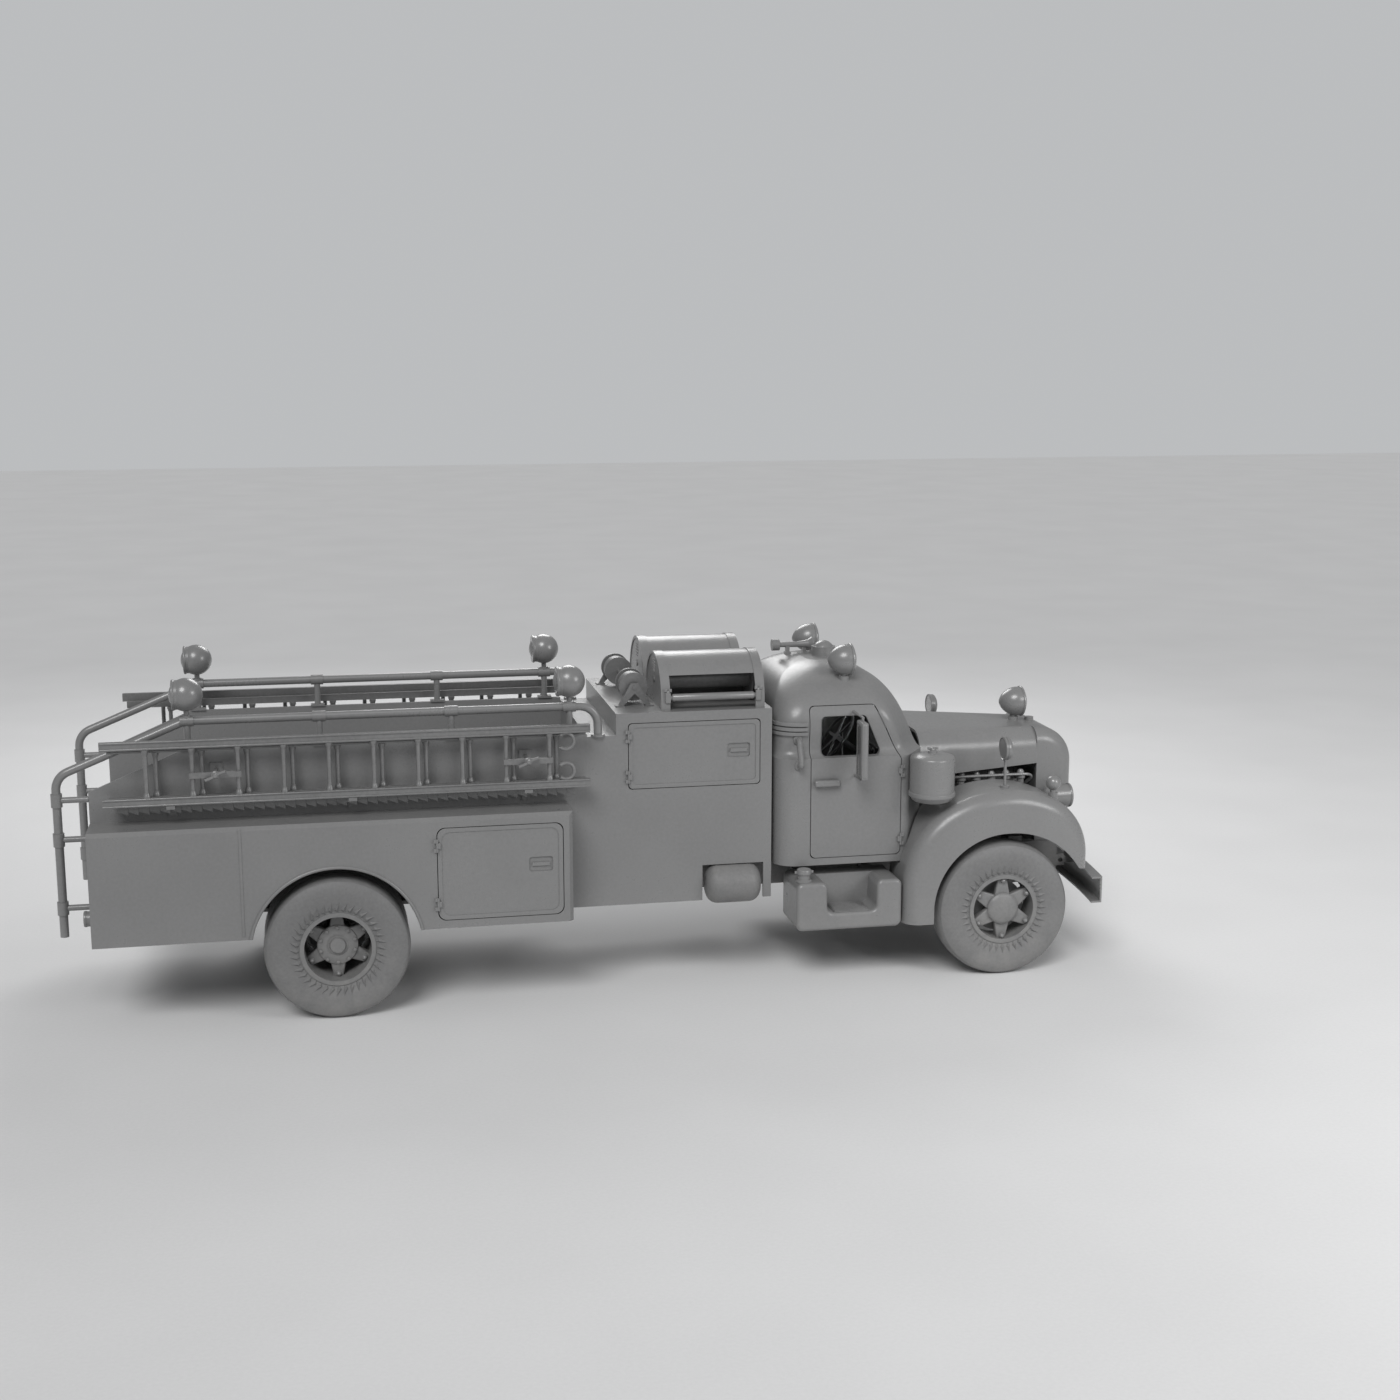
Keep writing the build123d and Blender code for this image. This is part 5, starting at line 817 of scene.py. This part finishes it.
# columns: distance along x, share of the radius
ROUND_BOWL = ((0.0, 0.0), (0.0, 1.0), (0.016, 1.0), (0.027, 0.92), (0.037, 0.72), (0.043, 0.40),
              (0.045, 0.0))
ROUND_RIM = ((-0.020, 0.90), (-0.026, 0.96), (-0.022, 1.04), (-0.012, 1.04), (-0.010, 0.96))
ROUND_PANE = ((-0.010, 0.0), (-0.010, 0.92), (-0.021, 0.92), (-0.022, 0.0))
bowl = turned("wing_mirror_right", sized(ROUND_BOWL, ROUND_R), LAMP_STEPS, "X", ROUND_MIRROR)
rim = turned("rim", sized(ROUND_RIM, ROUND_R), LAMP_STEPS, "X", ROUND_MIRROR)
joined("wing_mirror_right", bowl, rim)
pane = turned("wing_mirror_pane_right", sized(ROUND_PANE, ROUND_R), LAMP_STEPS, "X", ROUND_MIRROR)
fit_pair(bowl, plated, "bright_metal")
fit_pair(pane, silvered, "bright_metal")

# Air cleaner: a rolled steel canister in a bracket off the cab corner, with a pressed oil bowl
# clipped on below and a coned lid under a wing nut.
CLEANER_AXIS = (2.528, -0.958, 0.0)
CLEANER_STEPS = 56
# columns: height, radius
CLEANER_CAN = ((1.392, 0.0), (1.392, 0.118), (1.398, 0.140), (1.414, 0.160), (1.432, 0.170),
               (1.438, 0.179), (1.444, 0.181), (1.462, 0.181), (1.468, 0.179), (1.472, 0.172),
               (1.728, 0.172), (1.740, 0.168), (1.748, 0.158), (1.766, 0.090), (1.770, 0.040),
               (1.774, 0.036), (1.788, 0.034), (1.790, 0.030), (1.790, 0.0))
CLEANER_BOSS = ((1.786, 0.0), (1.786, 0.020), (1.800, 0.020), (1.810, 0.013), (1.816, 0.0))
CLEANER_WING = (0.034, 0.007, 0.020)
CLEANER_WING_OUT = 0.026
CLEANER_WING_Z = 1.806
WING_EASE = 0.003
BRACKET_PLACE = (2.506, -0.762, 1.560)
BRACKET_SIZE = (0.090, 0.112, 0.160)
BRACKET_TURN = 55.3
BRACKET_EASE = 0.008
can = turned("cleaner_can", CLEANER_CAN, CLEANER_STEPS, "Z", CLEANER_AXIS)
bracket = start_piece(bpy.ops.mesh.primitive_cube_add, "bracket", size=1.0, scale=BRACKET_SIZE,
                      location=BRACKET_PLACE, rotation=(0.0, 0.0, math.radians(BRACKET_TURN)))
eased(BRACKET_EASE, 2)
boss = turned("boss", CLEANER_BOSS, FITTING_STEPS, "Z", CLEANER_AXIS)
wings = [rounded_block("wing", CLEANER_WING,
                       (CLEANER_AXIS[0] + side * CLEANER_WING_OUT, CLEANER_AXIS[1], CLEANER_WING_Z),
                       WING_EASE, 2) for side in (-1, 1)]
fit(joined("cleaner_can", can, bracket), body_paint, "paint")
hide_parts("air_cleaner")
fit(joined("cleaner_wing_nut", boss, *wings), plated, "bright_metal")

# Pods: the wheel arch is edged with a rolled half-round lip, and a cover strip closes the seam
# between the tail locker and the arch panel.
LIP_RING = 0.624
LIP_R = 0.013
LIP_POINTS = 10
LIP_LOW = 0.653
ARCH_STEPS = 96
POD_Y = -1.120
SEAM_PLACE = (-2.665, -1.121, 1.076)
SEAM_SIZE = (0.020, 0.008, 0.790)
SEAM_EASE = 0.0032
lip_turns = [turn * math.tau / LIP_POINTS for turn in range(LIP_POINTS)]
lip_outline = [(LIP_R * math.sin(turn), LIP_RING + LIP_R * math.cos(turn))
               for turn in lip_turns]
lip = turned("arch_lip_right", lip_outline, ARCH_STEPS, "Y", (REAR_X, POD_Y, HUB_Z))
bpy.ops.object.mode_set(mode="EDIT")
take_all()
bpy.ops.mesh.bisect(plane_co=(0.0, 0.0, LIP_LOW), plane_no=(0.0, 0.0, -1.0), clear_outer=True,
                    use_fill=True)
bpy.ops.object.mode_set(mode="OBJECT")
seam = rounded_block("pod_seam_right", SEAM_SIZE, SEAM_PLACE, SEAM_EASE, 3)
fit_pair(lip, body_paint, "paint", angle=PANEL_CREASE)
fit_pair(seam, body_paint, "paint", angle=PANEL_CREASE)

# Scuff strips: a long strip of steel sheet with saw teeth along its lower edge, spot-welded to the
# outside of the rail that ties the ladder rack's arms.
STRIP_BACK = -3.512
STRIP_LOW = 1.548
STRIP_TOP = 1.606
STRIP_Y = -0.863
STRIP_T = 0.010
STRIP_EASE = 0.0015
TOOTH = 0.0732
TOOTH_RISE = 0.028
TOOTH_CORNER = 0.010
TEETH = 45


def row_of(piece, count, step):
    """Repeats a piece along a straight line and joins the copies."""
    only(piece)
    row = piece.modifiers.new("row", "ARRAY")
    row.use_relative_offset = False
    row.use_constant_offset = True
    row.constant_offset_displace = step
    row.count = count
    bpy.ops.object.modifier_apply(modifier="row")
    return piece


tooth = start_piece(bpy.ops.mesh.primitive_cube_add, "scuff_strip_right", size=1.0,
                    scale=(TOOTH, STRIP_T, STRIP_TOP - STRIP_LOW),
                    location=(STRIP_BACK + TOOTH / 2, STRIP_Y, (STRIP_LOW + STRIP_TOP) / 2))
take(tooth, "EDGE", lambda edge: all(end.co.x < STRIP_BACK + TOOTH_CORNER
                                     and end.co.z < STRIP_LOW + TOOTH_CORNER for end in edge.verts))
bpy.ops.transform.translate(value=(0.0, 0.0, TOOTH_RISE))
eased(STRIP_EASE, 1)
fit_pair(row_of(tooth, TEETH, (TOOTH, 0.0, 0.0)), body_paint, "paint")

# Step treads: ribbed alloy plates, pressed from sheet and riveted to the floor of the step in each
# tank, under the cab doors.
TREAD_PLACE = (1.880, -0.925, 0.572)
TREAD_SIZE = (0.280, 0.236, 0.008)
TREAD_EASE = 0.002
RIB_PLACE = (1.880, -1.025, 0.578)
RIB_SIZE = (0.260, 0.010, 0.010)
RIB_EASE = 0.003
RIB_PITCH = 0.025
RIBS = 9
alloy = coated("alloy", 0.24, 0.19, 0.36, 0.38, metal=0.35, dust=0.35, reach=0.7, wear=0.5, edge=0.003,
               grain=520.0, depth=0.0002)
tread = rounded_block("step_tread_right", TREAD_SIZE, TREAD_PLACE, TREAD_EASE, 2)
rib = row_of(rounded_block("rib", RIB_SIZE, RIB_PLACE, RIB_EASE, 2), RIBS, (0.0, RIB_PITCH, 0.0))
fit_pair(joined("step_tread_right", tread, rib), alloy, "bright_metal")

# Filler caps: a pressed steel cap with two grip ears, screwed over the filler neck of each step tank,
# and a rolled collar where the neck is brazed to the tank.
FILLER_AXIS = (1.518, -0.960, 0.0)
FILLER_STEPS = 32
# columns: height, radius
FILLER_CAP = ((0.866, 0.0), (0.866, 0.055), (0.870, 0.058), (0.892, 0.058), (0.900, 0.054),
              (0.910, 0.034), (0.914, 0.0))
FILLER_COLLAR = ((0.806, 0.047), (0.806, 0.064), (0.816, 0.064), (0.822, 0.058), (0.826, 0.047))
EAR_SIZE = (0.024, 0.016, 0.022)
EAR_EASE = 0.004
EAR_OUT = 0.062
EAR_Z = 0.881
filler = turned("filler_cap_right", FILLER_CAP, FILLER_STEPS, "Z", FILLER_AXIS)
collar = turned("collar", FILLER_COLLAR, FILLER_STEPS, "Z", FILLER_AXIS)
ears = [rounded_block("ear", EAR_SIZE, (FILLER_AXIS[0] + side * EAR_OUT, FILLER_AXIS[1], EAR_Z),
                      EAR_EASE, 3) for side in (-1, 1)]
fit_pair(joined("filler_cap_right", filler, collar, *ears), plated, "bright_metal")

# Ladders, racks and reels: alloy beams and rungs, steel brackets, spun steel drums. The end plates of
# the reel covers are pierced with a cluster of eyeleted vent holes.
VENT_PLACE = (0.461, -0.385, 2.430)
VENT_PITCH = 0.026
VENT_ROW_STEP = 0.866 * VENT_PITCH
VENT_ROWS = (-2, -1, 0, 1, 2)
EYELET_STEPS = 10
# columns: distance along x, radius
EYELET = ((0.001, 0.0050), (-0.0025, 0.0055), (-0.0030, 0.0075), (0.001, 0.0092))
dress(alloy, "ladders", "ladder_racks", "cord_reel_stand", "hose_reel_right", "hose_reel_left",
      "cord_reel")
eyelets = []
for row in VENT_ROWS:
    across = len(VENT_ROWS) - abs(row)
    for column in range(across):
        spot = (VENT_PLACE[0], VENT_PLACE[1] + (column - (across - 1) / 2) * VENT_PITCH,
                VENT_PLACE[2] + row * VENT_ROW_STEP)
        eyelets.append(turned("eyelet", EYELET, EYELET_STEPS, "X", spot))
fit_pair(joined("reel_vents_right", *eyelets), plated, "bright_metal")

# Hose rollers: a spun steel tube over the bar across each reel cover's mouth, so that the hose runs
# out without chafing. A bracket with a wing nut carries each end on the cover's band.
ROLLER_Y = -0.719
ROLLER_Z = 2.230
# columns: x, radius
ROLLER = ((0.540, 0.016), (0.540, 0.025), (0.546, 0.029), (1.164, 0.029), (1.170, 0.025),
          (1.170, 0.016))
ROLLER_STEPS = 28
MOUNTS_X = (0.506, 1.204)
MOUNT_Y = -0.731
MOUNT_SIZE = (0.042, 0.030, 0.078)
MOUNT_EASE = 0.006
# columns: height over the roller's axis, radius
STUD = ((0.030, 0.0), (0.030, 0.013), (0.048, 0.013), (0.056, 0.008), (0.060, 0.0))
STUD_WING = (0.022, 0.008, 0.026)
STUD_WING_OUT = 0.018
STUD_WING_Z = 2.288
STUD_STEPS = 14
roller = turned("hose_roller_right", ROLLER, ROLLER_STEPS, "X", (0.0, ROLLER_Y, ROLLER_Z))
mounts = []
for x in MOUNTS_X:
    mounts.append(rounded_block("bracket", MOUNT_SIZE, (x, MOUNT_Y, ROLLER_Z), MOUNT_EASE, 3))
    mounts.append(turned("stud", STUD, STUD_STEPS, "Z", (x, MOUNT_Y, ROLLER_Z)))
    for side in (-1, 1):
        spot = (x + side * STUD_WING_OUT, MOUNT_Y, STUD_WING_Z)
        mounts.append(rounded_block("wing", STUD_WING, spot, WING_EASE, 2))
fit_pair(joined("hose_roller_right", roller, *mounts), plated, "bright_metal")

# Ladder trim: the alloy beams are drawn as channels with a rolled lip along both edges, and each rung
# is swaged into a turned ferrule. The roof ladder's curled hooks are bent from round bar.
SHELF_Z = 1.635
RUNG_PITCH = 0.3186
RUNGS = 10
BEAM_LIP = (0.016, 0.015)
BEAM_LIP_EASE = 0.005
BEAM_LIP_LESS = 0.004
# columns: height over the beam, radius
FERRULE = ((0.0, 0.015), (0.0, 0.026), (0.018, 0.026), (0.024, 0.022), (0.038, 0.020), (0.040, 0.015))
# columns: middle of the beams, outer face, rear end, front end, top, beam height, first rung
LADDERS = ((-0.972, -0.988, -3.605, -0.125, 2.108, 0.062, -3.295),
           (-0.882, -0.898, -3.565, -0.145, 2.060, 0.052, -3.233))
HOOK_PLACES = ((-0.305, -0.972, 1.759), (-0.305, -0.972, 1.984))
HOOK_R = 0.062
HOOK_BAR = 0.0145
HOOK_REACH = 132.0
HOOK_POINTS = 13
trim = []
for y, face_y, back, front, top, beam, first in LADDERS:
    for low in (SHELF_Z, top - beam):
        for z in (low + BEAM_LIP[1] / 2, low + beam - BEAM_LIP[1] / 2):
            trim.append(rounded_block("lip", (front - back - BEAM_LIP_LESS, *BEAM_LIP),
                                      ((front + back) / 2, face_y, z), BEAM_LIP_EASE, 3))
    for z, way in ((SHELF_Z + beam, 1.0), (top - beam, -1.0)):
        ferrule = turned("ferrule", sized(FERRULE, 1.0, way), FITTING_STEPS, "Z", (first, y, z))
        trim.append(row_of(ferrule, RUNGS, (RUNG_PITCH, 0.0, 0.0)))
bends = [math.radians(HOOK_REACH * (2.0 * point / (HOOK_POINTS - 1) - 1.0))
         for point in range(HOOK_POINTS)]
for x, y, z in HOOK_PLACES:
    curl = [(x + HOOK_R * math.cos(bend), y, z + HOOK_R * math.sin(bend)) for bend in bends]
    trim.append(bent_tube("hook", curl, HOOK_BAR))
fit_pair(joined("ladder_trim_right", *trim), alloy, "ladder")

# Ladder clamps: a screwed steel spindle through each clamp bar, drawn up by a forged wing handle that
# presses the ladders against the rack.
CLAMPS_X = (-2.817, -0.587)
CLAMP_Y = -1.008
CLAMP_Z = 1.850
# columns: distance along y, radius
CLAMP_HUB = ((0.006, 0.0), (0.006, 0.030), (-0.006, 0.030), (-0.012, 0.022), (-0.036, 0.018),
             (-0.042, 0.012), (-0.044, 0.0))
# columns: x, y and z of the control points from the spindle
CLAMP_WING = ((-0.074, -0.034, -0.030), (-0.040, -0.030, -0.022), (0.0, -0.026, 0.0),
              (0.040, -0.030, 0.022), (0.074, -0.034, 0.030))
CLAMP_WING_R = 0.011
CLAMP_STEPS = 18
for end, x in zip(("rear", "front"), CLAMPS_X):
    name = f"clamp_handle_{end}_right"
    hub = turned(name, CLAMP_HUB, CLAMP_STEPS, "Y", (x, CLAMP_Y, CLAMP_Z))
    route = [(x + along, CLAMP_Y + out, CLAMP_Z + up) for along, out, up in CLAMP_WING]
    wing_bar = bent_tube("wing_bar", route, CLAMP_WING_R)
    fit_pair(joined(name, hub, wing_bar), plated, "ladder")

# Studio: a pale painted floor under a pale surround, as on a product sheet. A large soft key stands
# over the camera, with a fill off the nose and a light behind.
FLOOR_SIZE = 120.0
FLOOR_Z = -0.001
FLOOR_DARK = 0.74
FLOOR_PALE = 0.78
FLOOR_ROUGH = 0.85
BACKDROP = (0.50, 0.51, 0.52, 1.0)
SKY = (0.97, 0.98, 1.0, 1.0)
SKY_STRENGTH = 0.28
KEY_SPREAD = 28.0
floor = start_piece(bpy.ops.mesh.primitive_plane_add, "studio_floor", size=FLOOR_SIZE,
                    location=(0.0, 0.0, FLOOR_Z))
bpy.ops.mesh.subdivide(number_cuts=4)
bpy.ops.object.mode_set(mode="OBJECT")
floor_finish, tree, shader = new_material("studio_floor")
scuff = placed_group(tree, tone_drift, Scale=0.6)
tint = put(tree, "Mix", {0: scuff, 6: grey(FLOOR_DARK), 7: grey(FLOOR_PALE)}, data_type="RGBA")
tree.links.new(tint.outputs[2], shader.inputs["Base Color"])
shader.inputs["Roughness"].default_value = FLOOR_ROUGH
floor.data.materials.append(floor_finish)

world = bpy.data.worlds.new("studio_surround")
scene.world = world
world.use_nodes = True
tree = world.node_tree
sky = tree.nodes["Background"]
path = put(tree, "LightPath")
seen = put(tree, "Math", {0: path.outputs["Is Camera Ray"], 1: path.outputs["Is Transmission Ray"]},
           operation="MAXIMUM")
backdrop = put(tree, "Background", {"Color": BACKDROP, "Strength": 1.0})
sky.inputs["Color"].default_value = SKY
sky.inputs["Strength"].default_value = SKY_STRENGTH
either = put(tree, "MixShader", {0: seen.outputs[0], 1: sky.outputs[0], 2: backdrop.outputs[0]})
tree.links.new(either.outputs[0], tree.nodes["World Output"].inputs["Surface"])

# columns: name, kind, place, point aimed at, width of a soft box, power
LIGHTS = (("key_light", "SUN", (-6.0, -12.0, 14.0), (0.0, 0.0, 1.0), None, 1.62),
          ("fill_light", "AREA", (9.0, -9.0, 6.5), (1.0, 0.0, 1.0), 5.0, 420.0),
          ("back_light", "AREA", (1.0, 9.0, 8.0), (0.0, 0.0, 1.2), 6.0, 480.0))
for name, kind, spot, aim, width, power in LIGHTS:
    bpy.ops.object.light_add(type=kind, location=spot)
    light = bpy.context.object
    light.name = name
    light.data.energy = power
    light.rotation_euler = (Vector(aim) - Vector(spot)).to_track_quat("-Z", "Y").to_euler()
    if kind == "SUN":
        light.data.angle = math.radians(KEY_SPREAD)
    else:
        light.data.shape = "DISK"
        light.data.size = width

# Camera: standing off the right side, a little behind the middle and looking slightly down, where a
# camera fitted to the photograph stands.
CAMERA_SPOT = (-2.128, -14.896, 4.932)
CAMERA_YAW = 11.493
CAMERA_PITCH = 10.675
CAMERA_LENS = 50.0
CAMERA_SENSOR = 36.0
bpy.ops.object.camera_add(location=CAMERA_SPOT,
                          rotation=(math.radians(90.0 - CAMERA_PITCH), 0.0, math.radians(-CAMERA_YAW)))
camera = bpy.context.object
camera.data.lens = CAMERA_LENS
camera.data.sensor_width = CAMERA_SENSOR
scene.camera = camera
